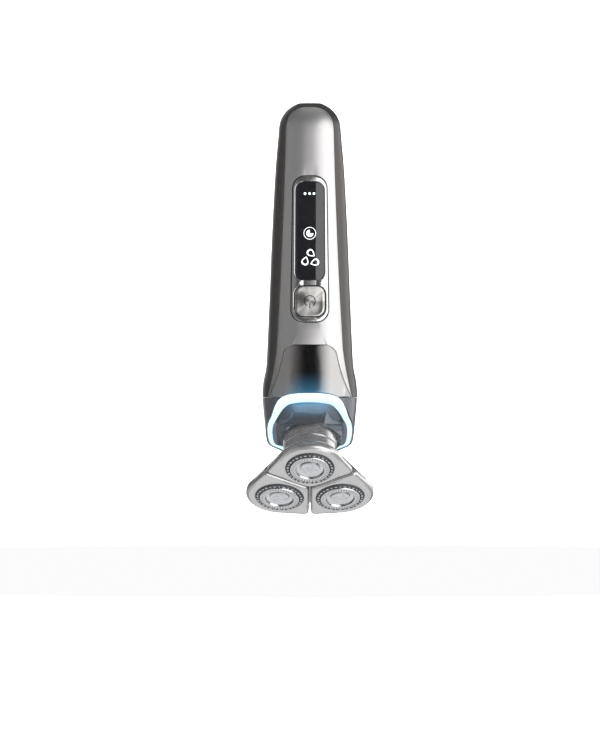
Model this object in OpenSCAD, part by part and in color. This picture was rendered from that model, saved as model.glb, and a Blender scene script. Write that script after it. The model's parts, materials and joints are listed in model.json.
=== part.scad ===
// Rotary electric shaver, stored head-down with its click-on shaving unit fitted.
// The origin is the centre of the flat seat at the handle's end. +Z points out of that seat,
// the display faces -Y, and the shaving heads are at the low end.

/* [Handle] */
// Depth of the seam between the housing and the shoulder collar, from the seat
seam_depth = 135.2; // [133:0.1:136]
// Wall of the housing, the collar and the front cover
shell_wall = 2; // [1.8:0.1:2.2]
// Wall of the satin front panel
panel_wall = 1.6; // [1.4:0.1:1.8]
// Length of the domed end of the handle
dome_length = 12.1; // [11.8:0.1:12.4]
// Squareness of the handle's cross-section: 2 is an ellipse
section_power = 2.4; // [2.2:0.1:2.6]

/* [Display and button] */
// Depth of the bezel's end nearest the seat
bezel_top = 33.9; // [33:0.1:35]
// Depth of the bezel's end nearest the heads
bezel_bottom = 100.6; // [100:0.1:102]
// Depth of the display window's end nearest the heads
window_bottom = 81.7; // [80:0.1:82]
// Width of the power button
button_width = 13.9; // [13.5:0.1:14.1]
// Length of the power button
button_length = 14; // [13.5:0.1:14.2]
// Travel of the power button
button_travel = 0.6; // [0.4:0.1:0.8]

/* [Neck] */
// Tilt of the neck and shaving unit towards the front
neck_tilt = 34; // [33:0.5:35]
// Depth of the centre of the shaving face
face_depth = 175.9; // [175:0.1:177]
// Distance of the centre of the shaving face in front of the handle's axis
face_forward = 22.2; // [21.5:0.1:23]
// Outer radius of the neck
neck_r = 12.3; // [12.2:0.05:12.4]
// Height of the handle's mouth above the shaving face, along the neck
mouth_height = 34.5; // [34:0.1:35]

/* [Shaving heads] */
// Radius of the circle that the three heads stand on
head_circle = 16; // [15.9:0.05:16.1]
// Outward lean of each head
head_lean = 4; // [3:0.5:5]
// Radius of a guard with its track ring
track_r = 11; // [10.9:0.05:11]
// Radius of a guard
guard_r = 9.2; // [9.1:0.05:9.2]
// Slots around a guard
guard_slots = 40; // [30:2:44]
// Blades on a cutter
cutter_blades = 9; // [7:1:12]

/* [Gears] */
// Teeth on the centre gear: a multiple of three
centre_teeth = 27; // [27:3:27]
// Teeth on each planet gear
planet_teeth = 13; // [13:1:13]

/* [Hidden] */
$fn = 48;
eps = 0.01;
round_points = 40;

// Handle stations: [depth, half width, front, back] before the end is domed.
stations = [
  [-20, 13.2, 9.6, 11.2], [0, 14, 10.6, 12], [11, 14.2, 11.4, 13.2], [30, 15.8, 12.6, 15],
  [60, 17.4, 14, 16.4], [90, 18.6, 15.4, 16.8], [115, 19.7, 17.4, 17.6], [122, 20.2, 18.4, 18.2],
  [128, 21.4, 19.4, 18.9], [135, 21.8, 20.3, 19.6], [150, 20.5, 21, 20.4], [170, 18.6, 21, 20.4],
  [190, 17, 21, 20]
];
dome_start = 0.8;
panel_gap = 0.1;
// The satin panel: its end, the length and half width of its round tip, and where the horns start.
panel_top = 2;
tip_length = 13;
tip_half = 11.1;
horn_start = 112;
horn_spread = 2.7;
// The front cover: its end, the length of its round corners, and its half width before and after them.
cover_top = 111.1;
cover_corner = 4.9;
cover_half_top = 7.4;
cover_half_corner = 12.4;
head_angles = [270, 30, 150];
gap_angles = [90, 210, 330];

// Display cluster
bezel_half_top = 7.65;
bezel_half_bottom = 8.6;
bezel_corner = 5.6;
window_top = 36.5;
window_half = 6.6;
window_corner = 3.8;
button_depth = 91.2;
button_corner = 4;
button_gap = 0.3;
bezel_proud = 0.35;
switch_tip = 11.3;

// Charging socket in the handle's end
pin_r = 0.6;
pin_spacing = 3.8;
socket_half_width = 4.15;
socket_half_height = 2.2;
socket_recess = 6;
socket_block_depth = 9;

// Heights along the neck, above the shaving face
pivot_h = 17;
cheek_drop = 3.1;
collar_low = 16.8;
collar_high = 20.6;
split_gap = 0.2;
neck_top = 31;
motor_low = 32.5;
motor_length = 18.5;
motor_r = 9.5;
shaft_r = 1;
spindle_r = 1.4;
stub_r = 1.5;
gear_low = 7.1;
gear_high = 8.7;
plate_low = 5.8;
plate_high = 6.8;
post_circle = 13.9;
bore_play = 0.05;

// Hinge of each head, near the middle of the unit
hinge_circle = 4;
hinge_h = 3.9;
hinge_r = 0.6;
petal_gap = 1;
petal_low = -0.6;
petal_high = 2.9;
arm_step = 16.8;

// Gears
gear_module = 2 * head_circle / (centre_teeth + planet_teeth);
pressure_angle = 20;
tooth_slack = 0.82;

// ---- Curves ------------------------------------------------------------------------------

function signed_power(v, p) = sign(v) * pow(abs(v), p);

function find_row(rows, s, i = 0) =
  (i >= len(rows) - 2 || s < rows[i + 1][0]) ? i : find_row(rows, s, i + 1);

// Catmull-Rom curve through column k of the stations.
function smooth(rows, s, k) =
  let (
    i = max(1, min(len(rows) - 3, find_row(rows, s))),
    p0 = rows[i - 1], p1 = rows[i], p2 = rows[i + 1], p3 = rows[i + 2],
    span = p2[0] - p1[0],
    u = (s - p1[0]) / span,
    m1 = span * (p2[k] - p0[k]) / (p2[0] - p0[0]),
    m2 = span * (p3[k] - p1[k]) / (p3[0] - p1[0])
  )
  (2 * u * u * u - 3 * u * u + 1) * p1[k] + (u * u * u - 2 * u * u + u) * m1
  + (3 * u * u - 2 * u * u * u) * p2[k] + (u * u * u - u * u) * m2;

function dome(s) =
  let (gone = max(0, dome_length - dome_start - s) / dome_length)
  sqrt(1 - gone * gone);

function half_width(s) = smooth(stations, s, 1) * dome(s);
function middle_y(s) = (smooth(stations, s, 3) - smooth(stations, s, 2)) / 2 * dome(s);
function half_depth(s) = (smooth(stations, s, 3) + smooth(stations, s, 2)) / 2 * dome(s);

function skin_point(angle, s, inset) =
  let (p = 2 / section_power)
  [
    (half_width(s) - inset) * signed_power(cos(angle), p),
    middle_y(s) + (half_depth(s) - inset) * signed_power(sin(angle), p),
    -s
  ];

function skin_ring(s, inset) =
  [for (i = [0 : round_points - 1]) skin_point(360 * i / round_points, s, inset)];

// Half width of the panel: a round tip, a slow flare, then two horns beside the cover.
function panel_half(s) =
  let (
    u = min(1, (s - panel_top) / tip_length),
    d = s - panel_top - tip_length,
    flare = tip_half + 0.023 * d + 0.000193 * d * d,
    horn = horn_spread * pow(max(0, s - horn_start) / (seam_depth - horn_start), 1.5)
  )
  pow(1 - pow(1 - u, 3), 0.38) * flare + horn;

// Half width of the front cover: round upper corners, then a flare.
function cover_half(s) =
  let (
    u = min(1, (s - cover_top) / cover_corner),
    d = max(0, s - cover_top - cover_corner)
  )
  cover_half_top + (cover_half_corner - cover_half_top) * pow(1 - (1 - u) * (1 - u), 0.75)
  + 0.2 * d + 0.0076 * d * d;

panel_rows = [for (s = concat(
    [for (i = [1 : 7]) panel_top + tip_length * i * i / 49], [for (s = [30 : 16 : 110]) s],
    [for (f = [0 : 0.25 : 1]) horn_start + (seam_depth - horn_start) * f]
  )) [s, panel_half(s)]];

cover_rows = [for (s = concat(
    [for (f = [0, 0.1, 0.3, 0.6, 1]) cover_top + cover_corner * f],
    [for (f = [0.25 : 0.25 : 1]) 116 + (seam_depth - 116) * f]
  )) [s, cover_half(s)]];

// Depth at which a line on the skin meets a plane square to the neck.
function meet(angle, height, inset, s, steps) =
  steps == 0 ? s
  : let (y = skin_point(angle, s, inset)[1])
    meet(
      angle, height, inset,
      face_depth - (height - (y + face_forward) * sin(neck_tilt)) / cos(neck_tilt), steps - 1
    );

// How far the mouth's border dips below its plane, on the flanks only.
function ease(u) = let (v = max(0, min(1, u))) v * v * (3 - 2 * v);

function cheek(angle) =
  let (turn = abs((angle + 270) % 360 - 180))
  cheek_drop * ease((turn - 24) / 38) * (1 - ease((turn - 95) / 45));

function slant_point(angle, height, inset) =
  skin_point(angle, meet(angle, height - cheek(angle), inset, 150, 7), inset);

function slant_ring(height, inset) =
  [for (i = [0 : round_points - 1]) slant_point(360 * i / round_points, height, inset)];

// A point of the neck's own frame, as a point of the handle's frame.
function from_neck(p) = [
  p[0],
  -face_forward + p[1] * cos(neck_tilt) + p[2] * sin(neck_tilt),
  -face_depth - p[1] * sin(neck_tilt) + p[2] * cos(neck_tilt)
];

function neck_ring(r, height) =
  [for (i = [0 : round_points - 1])
    let (a = 360 * i / round_points) from_neck([r * cos(a), r * sin(a), height])];

// Rounded triangle: three arcs of radius q on a circle of radius c.
function triangle_ring(c, q, height, count = 36) =
  [for (i = [0 : count - 1])
    let (
      a = 360 * (i + 0.5) / count - 30,
      corner = 120 * floor((a + 30) / 120) + 30
    )
    [c * cos(corner) + q * cos(a), c * sin(corner) + q * sin(a), height]];

function flat(ring) = [for (p = ring) [p[0], p[1]]];

function side_faces(rows, m, closed) =
  [for (j = [0 : rows - (closed ? 1 : 2)], i = [0 : m - 1], half = [0, 1])
    let (
      a = j * m + i, b = j * m + (i + 1) % m,
      c = ((j + 1) % rows) * m + (i + 1) % m, d = ((j + 1) % rows) * m + i
    )
    half == 0 ? [a, d, c] : [a, c, b]];

// ---- Shape makers ------------------------------------------------------------------------

// Solid through a stack of rings, given from the lowest to the highest.
module stack(rings) {
  m = len(rings[0]);
  n = len(rings);
  polyhedron(
    points = [for (r = rings, p = r) p],
    faces = concat(
      [[for (i = [0 : m - 1]) i]],
      side_faces(n, m, false),
      [[for (i = [m - 1 : -1 : 0]) (n - 1) * m + i]]
    )
  );
}

// Closed hoop through loops that run round its own cross-section.
module hoop(loops) {
  polyhedron(
    points = [for (r = loops, p = r) p],
    faces = side_faces(len(loops), len(loops[0]), true)
  );
}

module handle_solid(from, to, inset, rows) {
  stack([for (i = [0 : rows])
    let (f = 1 - i / rows) skin_ring(from + (to - from) * f * (0.3 + 0.7 * f), inset)]);
}

// Curved patch of the handle's front, between two offsets from the skin.
module front_patch(from, to, half, outer, inner, rows = 12, columns = 10) {
  function front_y(x, s, inset) =
    let (w = half_width(s) - inset, t = min(1, abs(x) / w))
    middle_y(s) - (half_depth(s) - inset) * pow(1 - pow(t, section_power), 1 / section_power);
  function row(s, inset) =
    [for (i = [0 : columns])
      let (x = min(half, 0.985 * half_width(s)) * (2 * i / columns - 1))
      [x, front_y(x, s, inset), -s]];
  function loop(s) =
    concat(row(s, outer), [for (i = [columns : -1 : 0])
      let (p = row(s, outer)[i]) [p[0], p[1] + inner - outer, p[2]]]);
  stack([for (j = [rows : -1 : 0]) loop(from + (to - from) * j / rows)]);
}

module neck_frame() {
  translate([0, -face_forward, -face_depth]) rotate([-neck_tilt, 0, 0]) children();
}

// Frame of one head: its own axis is z, and the head stands on the shaving face.
module head_frame(i) {
  a = head_angles[i];
  neck_frame() rotate([0, 0, a]) translate([head_circle, 0, 0]) rotate([0, -head_lean, 0])
    children();
}

module at_head(i) {
  neck_frame() rotate([0, 0, head_angles[i]]) translate([head_circle, 0, 0]) children();
}

module tube(r_out, r_in, low, high) {
  difference() {
    translate([0, 0, low]) cylinder(r = r_out, h = high - low);
    translate([0, 0, low - 1]) cylinder(r = r_in, h = high - low + 2);
  }
}

module disc(r, low, high) {
  translate([0, 0, low]) cylinder(r = r, h = high - low);
}

// Box from one corner to the opposite one.
module block(a, b) {
  translate(a) cube(b - a);
}

// Outline drawn as seen from the front, pushed through the front half of the handle.
module push_front(back_y = 0) {
  translate([0, back_y, 0]) rotate([90, 0, 0]) linear_extrude(45) children();
}

// Outline that is symmetric about the handle's axis, from rows of depth and half width.
module mirrored_outline(rows, grow) {
  first = rows[0][0];
  last = rows[len(rows) - 1][0];
  right = [for (r = rows)
    [r[1] + grow, -r[0] + (r[0] == first ? grow : 0) - (r[0] == last ? grow : 0)]];
  left = [for (i = [len(right) - 1 : -1 : 0]) [-right[i][0], right[i][1]]];
  polygon(concat(right, left));
}

module rounded_outline(top, bottom, half_top, half_bottom, corner) {
  hull() {
    for (side = [-1, 1]) {
      translate([side * (half_top - corner), -top - corner]) circle(r = corner, $fn = 28);
      translate([side * (half_bottom - corner), -bottom + corner]) circle(r = corner, $fn = 28);
    }
  }
}

module bezel_outline(grow = 0) {
  rounded_outline(
    bezel_top - grow, bezel_bottom + grow, bezel_half_top + grow, bezel_half_bottom + grow,
    bezel_corner + grow
  );
}

module window_outline(grow = 0) {
  rounded_outline(
    window_top - grow, window_bottom + grow, window_half + grow, window_half + 0.2 + grow,
    window_corner + grow
  );
}

module button_outline(grow = 0) {
  rounded_outline(
    button_depth - button_length / 2 - grow, button_depth + button_length / 2 + grow,
    button_width / 2 + grow, button_width / 2 + grow, button_corner + grow
  );
}

// Everything of the shells that lies below the mouth's border.
module below_mouth(height) {
  outside = slant_ring(height, -8);
  inside = slant_ring(height, 6);
  hoop([
    outside, inside, [for (p = inside) p - [0, 0, 45]], [for (p = outside) p - [0, 0, 45]]
  ]);
}

module socket_shape(grow, low, high) {
  straight = socket_half_width - socket_half_height;
  for (side = [-1, 1]) {
    translate([side * straight, 0, low])
      cylinder(r = socket_half_height + grow, h = high - low);
  }
  block(
    [-straight, -socket_half_height - grow, low], [straight, socket_half_height + grow, high]
  );
}

// ---- Handle ------------------------------------------------------------------------------

module rear_housing() {
  color("#3a3836") difference() {
    handle_solid(0, seam_depth, 0, 22);
    handle_solid(3, seam_depth + 1, shell_wall, 18);
    push_front() mirrored_outline(panel_rows, panel_gap);
    push_front() mirrored_outline(cover_rows, panel_gap);
    below_mouth(mouth_height + 2.2);
    socket_shape(0.4, -socket_block_depth - 1, 1);
  }
}

module front_panel() {
  color("#b9b8b6") difference() {
    intersection() {
      front_patch(panel_top, seam_depth + 1, 20, 0, panel_wall, 24, 12);
      push_front() mirrored_outline(panel_rows, 0);
    }
    push_front() bezel_outline(panel_gap);
    push_front() mirrored_outline(cover_rows, panel_gap);
    below_mouth(mouth_height + 2.2);
  }
}

module front_cover() {
  color("#17181a") difference() {
    intersection() {
      front_patch(cover_top - 1, seam_depth + 1, 20, 0, shell_wall, 10, 14);
      push_front() mirrored_outline(cover_rows, 0);
    }
    below_mouth(mouth_height + 2.2);
  }
}

module shoulder_collar() {
  color("#484c54") difference() {
    handle_solid(seam_depth, 172, 0, 10);
    handle_solid(seam_depth - 1, 173, shell_wall, 10);
    below_mouth(mouth_height + 2.2);
  }
}

module light_ring() {
  color("#c9f6ff") hoop([
    slant_ring(mouth_height + 2.1, 0.05), slant_ring(mouth_height + 0.7, 0.05),
    slant_ring(mouth_height, 0.8), slant_ring(mouth_height, 3.1),
    slant_ring(mouth_height + 2.1, 3.1)
  ]);
}

module inner_collar() {
  color("#4b5057") hoop([
    slant_ring(mouth_height + 1.2, 3.2), slant_ring(mouth_height - 0.8, 3.3),
    neck_ring(14.3, 25.4), neck_ring(neck_r + 0.06, 26.4), neck_ring(neck_r + 0.06, 29.8),
    slant_ring(mouth_height + 1.2, 4.9)
  ]);
}

module neck_tube() {
  color("#b4b3b2") neck_frame() {
    tube(neck_r, 10.5, collar_high + split_gap, neck_top);
    tube(10.6, 3, 25.4, 26.6);
  }
}

module display_bezel() {
  color("#d8d8d6") difference() {
    intersection() {
      front_patch(bezel_top - 1, bezel_bottom + 1, 10, -bezel_proud, panel_wall, 12, 8);
      push_front() bezel_outline();
    }
    push_front() window_outline(0.05);
    push_front() button_outline(button_gap);
  }
}

module display_window() {
  color("#08090b") intersection() {
    front_patch(window_top - 1, window_bottom + 1, 9, -0.15, 1.3, 8, 8);
    push_front() window_outline();
  }
}

module display_board() {
  color("#1d5a36") block([-6, -10.4, -80], [6, -9.6, -38]);
  color("#e8e8e0") for (depth = [42, 60, 71.6]) {
    block([-2.4, -11.2, -depth - 1.5], [2.4, -10.4 - eps, -depth + 1.5]);
  }
}

module power_button() {
  color("#c4c2bf") intersection() {
    front_patch(button_depth - 9, button_depth + 9, 9, -0.25, 1.6, 6, 8);
    push_front() button_outline();
  }
  color("#8d8f92") translate([0, -switch_tip - button_travel - 0.1, -button_depth])
    rotate([90, 0, 0]) cylinder(r = 1.2, h = 2.2);
}

module button_seal() {
  color("#26282b") difference() {
    block([-7.6, -11.1, -button_depth - 7.6], [7.6, -10.5, -button_depth + 7.6]);
    translate([0, -10, -button_depth]) rotate([90, 0, 0]) cylinder(r = 1.4, h = 3);
  }
}

module tact_switch() {
  color("#202224") block([-3, -10, -button_depth - 3], [3, -7.5, -button_depth + 3]);
  color("#8d8f92") translate([0, -10 + eps, -button_depth]) rotate([90, 0, 0])
    cylinder(r = 1.2, h = switch_tip - 10 + eps);
}

module main_board() {
  color("#1f6b40") block([-9.5, -7.5, -110], [9.5, -6.3, -17]);
  color("#23262a") {
    block([-4, -8.7, -58], [4, -7.5 - eps, -50]);
    block([-8, -8.5, -72], [-3, -7.5 - eps, -66]);
    block([2, -8.5, -32], [7, -7.5 - eps, -26]);
  }
}

module chassis() {
  color("#2e3033") difference() {
    union() {
      block([-10.2, -6.2, -112], [10.2, -4.7, -15]);
      for (depth = [17, 74, 110]) block([-10.2, -4.8, -depth - 1], [10.2, 9, -depth + 1]);
    }
    translate([0, 3.6, -74]) cylinder(r = 7.2, h = 56);
  }
}

module battery() {
  color("#3d6fa8") translate([0, 3.6, -71]) cylinder(r = 7, h = 50);
  color("#c9c9c6") translate([0, 3.6, -21 - eps]) cylinder(r = 2.6, h = 1);
}

module battery_contacts() {
  color("#c8b27a") {
    block([-2, 2, -19.6], [2, 5.2, -19.1]);
    block([-2, 2, -72], [2, 5.2, -71.5]);
  }
}

module motor_can() {
  color("#9b9c9e") neck_frame() tube(motor_r, shaft_r + bore_play, motor_low, motor_low + motor_length);
}

module motor_mount() {
  color("#34373b") neck_frame() tube(neck_r, 2.6, neck_top, motor_low);
}

module motor_damper() {
  color("#1b1c1e") neck_frame() tube(motor_r + 0.9, motor_r, 41, 45);
}

module neck_seal() {
  color("#17181a") neck_frame() tube(3, shaft_r + bore_play, 25, 27);
}

module socket_housing() {
  color("#1c1d1f") difference() {
    socket_shape(0.4 - eps, -socket_block_depth, -0.6);
    socket_shape(-0.4 + eps, -socket_recess, 1);
  }
}

module socket_pins() {
  color("#d9c37a") for (side = [-1, 1]) {
    translate([side * pin_spacing / 2, 0, -socket_recess]) cylinder(r = pin_r, h = 4.4);
  }
}

module housing_screws() {
  color("#8f9194") for (side = [-1, 1]) {
    translate([side * 7.5, -4.7, -107]) rotate([-90, 0, 0]) {
      cylinder(r = 1.6, h = 1.2);
      cylinder(r = 0.8, h = 6);
    }
  }
}

// ---- Motor shaft -------------------------------------------------------------------------

module motor_shaft() {
  color("#c7c8ca") neck_frame() disc(shaft_r, 18.4, motor_low + motor_length - 1);
}

module drive_coupler() {
  color("#e8e6df") neck_frame() difference() {
    union() {
      translate([-1.5, -1.5, pivot_h - 1.2]) cube([3, 3, 2.6]);
      disc(2.4, pivot_h + 1.4 - eps, 22.6);
    }
    disc(shaft_r, 18.4, 23);
  }
}

// ---- Shaving unit ------------------------------------------------------------------------

module coupling_collar() {
  color("#b4b3b2") neck_frame() difference() {
    union() {
      tube(neck_r, 11.3, collar_low, collar_high);
      tube(11.4, 4.6, 19.5, 20.5);
      tube(10.4, 9.2, 20.4, 24);
      for (side = [-1, 1]) {
        translate([side * 8.45 - 0.85, -1.4, pivot_h - 1]) cube([1.7, 2.8, 3.6]);
      }
    }
    translate([-12, 0, pivot_h]) rotate([0, 90, 0]) cylinder(r = 0.8 + bore_play, h = 24);
  }
}

module gimbal_ring() {
  color("#8d8f92") neck_frame() {
    tube(7.2, 5.4, pivot_h - 0.9, pivot_h + 0.9);
    for (turn = [0 : 90 : 270]) {
      rotate([0, 0, turn]) translate([6.4, 0, pivot_h]) rotate([0, 90, 0])
        cylinder(r = 0.8, h = 2.8);
    }
  }
}

// Bowl of the shaving unit, as rows of height, corner circle and corner radius.
module bowl_skin(inset) {
  stack([for (row = [
      [7.3, 14.75, 12], [8.6, 13.8, 11.2], [11.8, 10.5, 9.5], [13.9, 6.5, 9.5], [15.2, 0, 12.3]
    ]) triangle_ring(row[1], row[2] - inset, row[0] - inset * 0.8)]);
}

module unit_base() {
  color("#aeadab") neck_frame() difference() {
    union() {
      difference() {
        union() {
          bowl_skin(0);
          intersection() {
            translate([0, 0, pivot_h]) sphere(r = 11);
            disc(11.5, 14, 18);
          }
        }
        bowl_skin(1.2);
      }
      for (a = gap_angles) {
        rotate([0, 0, a]) translate([post_circle, 0, 0]) disc(1.6, plate_high, 10.4);
      }
    }
    difference() {
      intersection() {
        translate([0, 0, pivot_h]) sphere(r = 9.9);
        disc(11.5, 15, 19);
      }
      for (side = [-1, 1]) {
        translate([-1.4, side * 8.45 - 0.85, 14.5]) cube([2.8, 1.7, 3.3]);
      }
    }
    disc(3.6, 10, 19);
    translate([0, 12, pivot_h]) rotate([90, 0, 0]) cylinder(r = 0.8 + bore_play, h = 24);
    for (a = gap_angles) {
      rotate([0, 0, a]) translate([post_circle, 0, 0]) disc(0.8, plate_high - 1, 9.2);
    }
  }
}

module gear_plate() {
  color("#d9d7d0") neck_frame() difference() {
    union() {
      translate([0, 0, plate_low]) linear_extrude(plate_high - plate_low)
        polygon(flat(triangle_ring(12.5, 9.5, 0)));
      for (a = head_angles) {
        rotate([0, 0, a]) translate([head_circle, 0, 0]) disc(3, plate_low - 0.8, plate_high);
      }
    }
    for (a = head_angles) {
      rotate([0, 0, a]) translate([head_circle, 0, 0]) disc(spindle_r + bore_play, 4, 8);
    }
    for (a = gap_angles) rotate([0, 0, a]) translate([post_circle, 0, 0]) disc(0.8, 4, 8);
    disc(stub_r + bore_play, 4, 8);
  }
}

module gear_plate_screws() {
  color("#8f9194") neck_frame() for (a = gap_angles) {
    rotate([0, 0, a]) translate([post_circle, 0, 0]) {
      disc(1.3, plate_low - 0.3, plate_low);
      disc(0.8, plate_low - eps, 9);
    }
  }
}

// Angle in degrees between a tooth's pitch point and its flank at radius r.
function involute(angle) = tan(angle) * 180 / PI - angle;

function flank(r, base_r, pitch_half) =
  pitch_half + involute(pressure_angle) - involute(acos(min(1, base_r / r)));

function gear_points(teeth) =
  let (
    r = gear_module * teeth / 2,
    base_r = r * cos(pressure_angle),
    tip_r = r + 0.85 * gear_module,
    root_r = r - 1.15 * gear_module,
    pitch_half = 90 / teeth * tooth_slack,
    start_r = max(base_r, root_r),
    radii = [for (k = [0 : 3]) start_r + (tip_r - start_r) * k / 3]
  )
  [for (tooth = [0 : teeth - 1])
    let (a = 360 * tooth / teeth)
    each concat(
      [[root_r, a - flank(start_r, base_r, pitch_half)]],
      [for (q = radii) [q, a - flank(q, base_r, pitch_half)]],
      [for (k = [3 : -1 : 0]) [radii[k], a + flank(radii[k], base_r, pitch_half)]],
      [[root_r, a + flank(start_r, base_r, pitch_half)]]
    )];

module gear(teeth) {
  translate([0, 0, gear_low]) linear_extrude(gear_high - gear_low)
    polygon([for (p = gear_points(teeth)) [p[0] * cos(p[1]), p[0] * sin(p[1])]]);
}

module centre_gear() {
  color("#e9e5d8") neck_frame() rotate([0, 0, -90 / centre_teeth]) difference() {
    union() {
      gear(centre_teeth);
      disc(3.5, gear_high - eps, pivot_h + 1.1);
      disc(stub_r, plate_low, gear_low + eps);
    }
    translate([-1.95, -1.95, pivot_h - 1.7]) cube([3.9, 3.9, 4]);
  }
}

module planet_gear(i) {
  color("#e9e5d8") at_head(i) difference() {
    rotate([0, 0, 180]) gear(planet_teeth);
    disc(spindle_r, gear_low - 1, gear_high + 1);
  }
}

module drive_spindle(i) {
  color("#c7c8ca") at_head(i) {
    disc(spindle_r, 4.4 - eps, gear_high);
    translate([-1.1, -1.1, 2.2]) cube([2.2, 2.2, 2.2]);
  }
}

module holder_frame() {
  color("#a9a8a6") neck_frame() {
    difference() {
      stack([triangle_ring(15.8, 13.4, 5.4), triangle_ring(14.8, 12.1, 7.2)]);
      stack([triangle_ring(15.8, 11.9, 5), triangle_ring(14.8, 10.5, 7.6)]);
    }
    disc(1.6, 2.6, 5.4);
    for (a = gap_angles) rotate([0, 0, a]) {
      block([0, -1.2, 3.6], [19.6, 1.2, 5.2]);
      block([arm_step, -1.2, 5], [19.6, 1.2, 5.7]);
    }
    for (a = head_angles) {
      rotate([0, 0, a]) {
        block([0, -0.8, hinge_h - 0.7], [hinge_circle + 0.6, 0.8, hinge_h + 0.7]);
        translate([hinge_circle, 2.3, hinge_h]) rotate([90, 0, 0]) cylinder(r = hinge_r, h = 4.6);
      }
    }
  }
}

// Petal of one head: a third of the rounded triangle, seen from the head's own centre.
module petal_outline() {
  tip = petal_gap / 2 / cos(30);
  reach = 40;
  intersection() {
    translate([-head_circle, 0]) rotate(-head_angles[1])
      polygon(flat(triangle_ring(head_circle, 15.4, 0)));
    translate([-head_circle, 0])
      polygon([[tip, 0], [reach, (reach - tip) * tan(60)], [reach, -(reach - tip) * tan(60)]]);
  }
}

module head_carrier(i) {
  color("#b7b6b4") difference() {
    union() {
      head_frame(i) translate([0, 0, petal_low]) linear_extrude(petal_high - petal_low)
        petal_outline();
      neck_frame() rotate([0, 0, head_angles[i]]) for (side = [-1, 1]) {
        translate([hinge_circle - 1, side * 1.65 - 0.55, 1.4]) cube([2, 1.1, hinge_h - 0.3]);
      }
    }
    head_frame(i) {
      disc(track_r + 0.1, -2, 1.4);
      disc(track_r + 0.8, 1.3, 3.1);
    }
    neck_frame() rotate([0, 0, head_angles[i]]) translate([hinge_circle, 5, hinge_h])
      rotate([90, 0, 0]) cylinder(r = hinge_r + bore_play, h = 10);
  }
}

module track_ring(i) {
  color("#2b2d30") head_frame(i) {
    tube(track_r, guard_r, -1.2, 2.4);
    tube(track_r + 0.6, track_r - eps, 1.5, 2.4);
  }
}

module guard(i) {
  color("#cfcfcd") head_frame(i) difference() {
    rotate_extrude() polygon([
      [4.4, -0.6], [6, -0.6], [6.5, -1.8], [8.8, -1.8], [guard_r, -1.4], [guard_r, 2.2],
      [guard_r - 0.2, 2.2], [guard_r - 0.2, -1.4], [6.8, -1.4], [6.4, -0.2], [4.4, -0.2]
    ]);
    for (k = [0 : guard_slots - 1]) {
      rotate([0, 0, 360 * k / guard_slots]) translate([7.1, -0.15, -2]) cube([1.6, 0.3, 1]);
    }
  }
}

module guard_cap(i) {
  color("#9fa1a3") head_frame(i) disc(4.4, -1.2, -0.2);
}

module lock_ring(i) {
  color("#6c6f73") head_frame(i) {
    tube(track_r + 0.6, guard_r - 1.2, 2.4, 3);
    tube(4.6, 3.9, 2.4, 3);
    for (turn = [60 : 120 : 300]) {
      rotate([0, 0, turn]) block([4.3, -0.5, 2.5], [guard_r - 0.6, 0.5, 2.9]);
    }
  }
}

module cutter(i) {
  color("#d4d3cf") head_frame(i) {
    difference() {
      union() {
        disc(8.5, 0.3, 0.9);
        disc(3.4, 0.8, 3.7);
      }
      translate([-1.75, -1.75, 1.2]) cube([3.5, 3.5, 5]);
    }
    for (k = [0 : cutter_blades - 1]) {
      rotate([0, 0, 360 * k / cutter_blades]) translate([7, -0.25, -1.3]) cube([1.5, 0.5, 1.7]);
    }
  }
}

rear_housing();
front_panel();
front_cover();
shoulder_collar();
light_ring();
inner_collar();
neck_tube();
display_bezel();
display_window();
display_board();
button_seal();
tact_switch();
chassis();
battery();
battery_contacts();
main_board();
motor_can();
motor_mount();
motor_damper();
neck_seal();
socket_housing();
socket_pins();
housing_screws();
power_button();
motor_shaft();
drive_coupler();
coupling_collar();
gimbal_ring();
unit_base();
gear_plate();
gear_plate_screws();
centre_gear();
planet_gear(0);  // planet_gear_1
planet_gear(1);  // planet_gear_2
planet_gear(2);  // planet_gear_3
drive_spindle(0);  // drive_spindle_1
drive_spindle(1);  // drive_spindle_2
drive_spindle(2);  // drive_spindle_3
holder_frame();
head_carrier(0);  // head_carrier_1
head_carrier(1);  // head_carrier_2
head_carrier(2);  // head_carrier_3
track_ring(0);  // track_ring_1
track_ring(1);  // track_ring_2
track_ring(2);  // track_ring_3
guard(0);  // guard_1
guard(1);  // guard_2
guard(2);  // guard_3
guard_cap(0);  // guard_cap_1
guard_cap(1);  // guard_cap_2
guard_cap(2);  // guard_cap_3
lock_ring(0);  // lock_ring_1
lock_ring(1);  // lock_ring_2
lock_ring(2);  // lock_ring_3
cutter(0);  // cutter_1
cutter(1);  // cutter_2
cutter(2);  // cutter_3
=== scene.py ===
import json
import math

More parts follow.
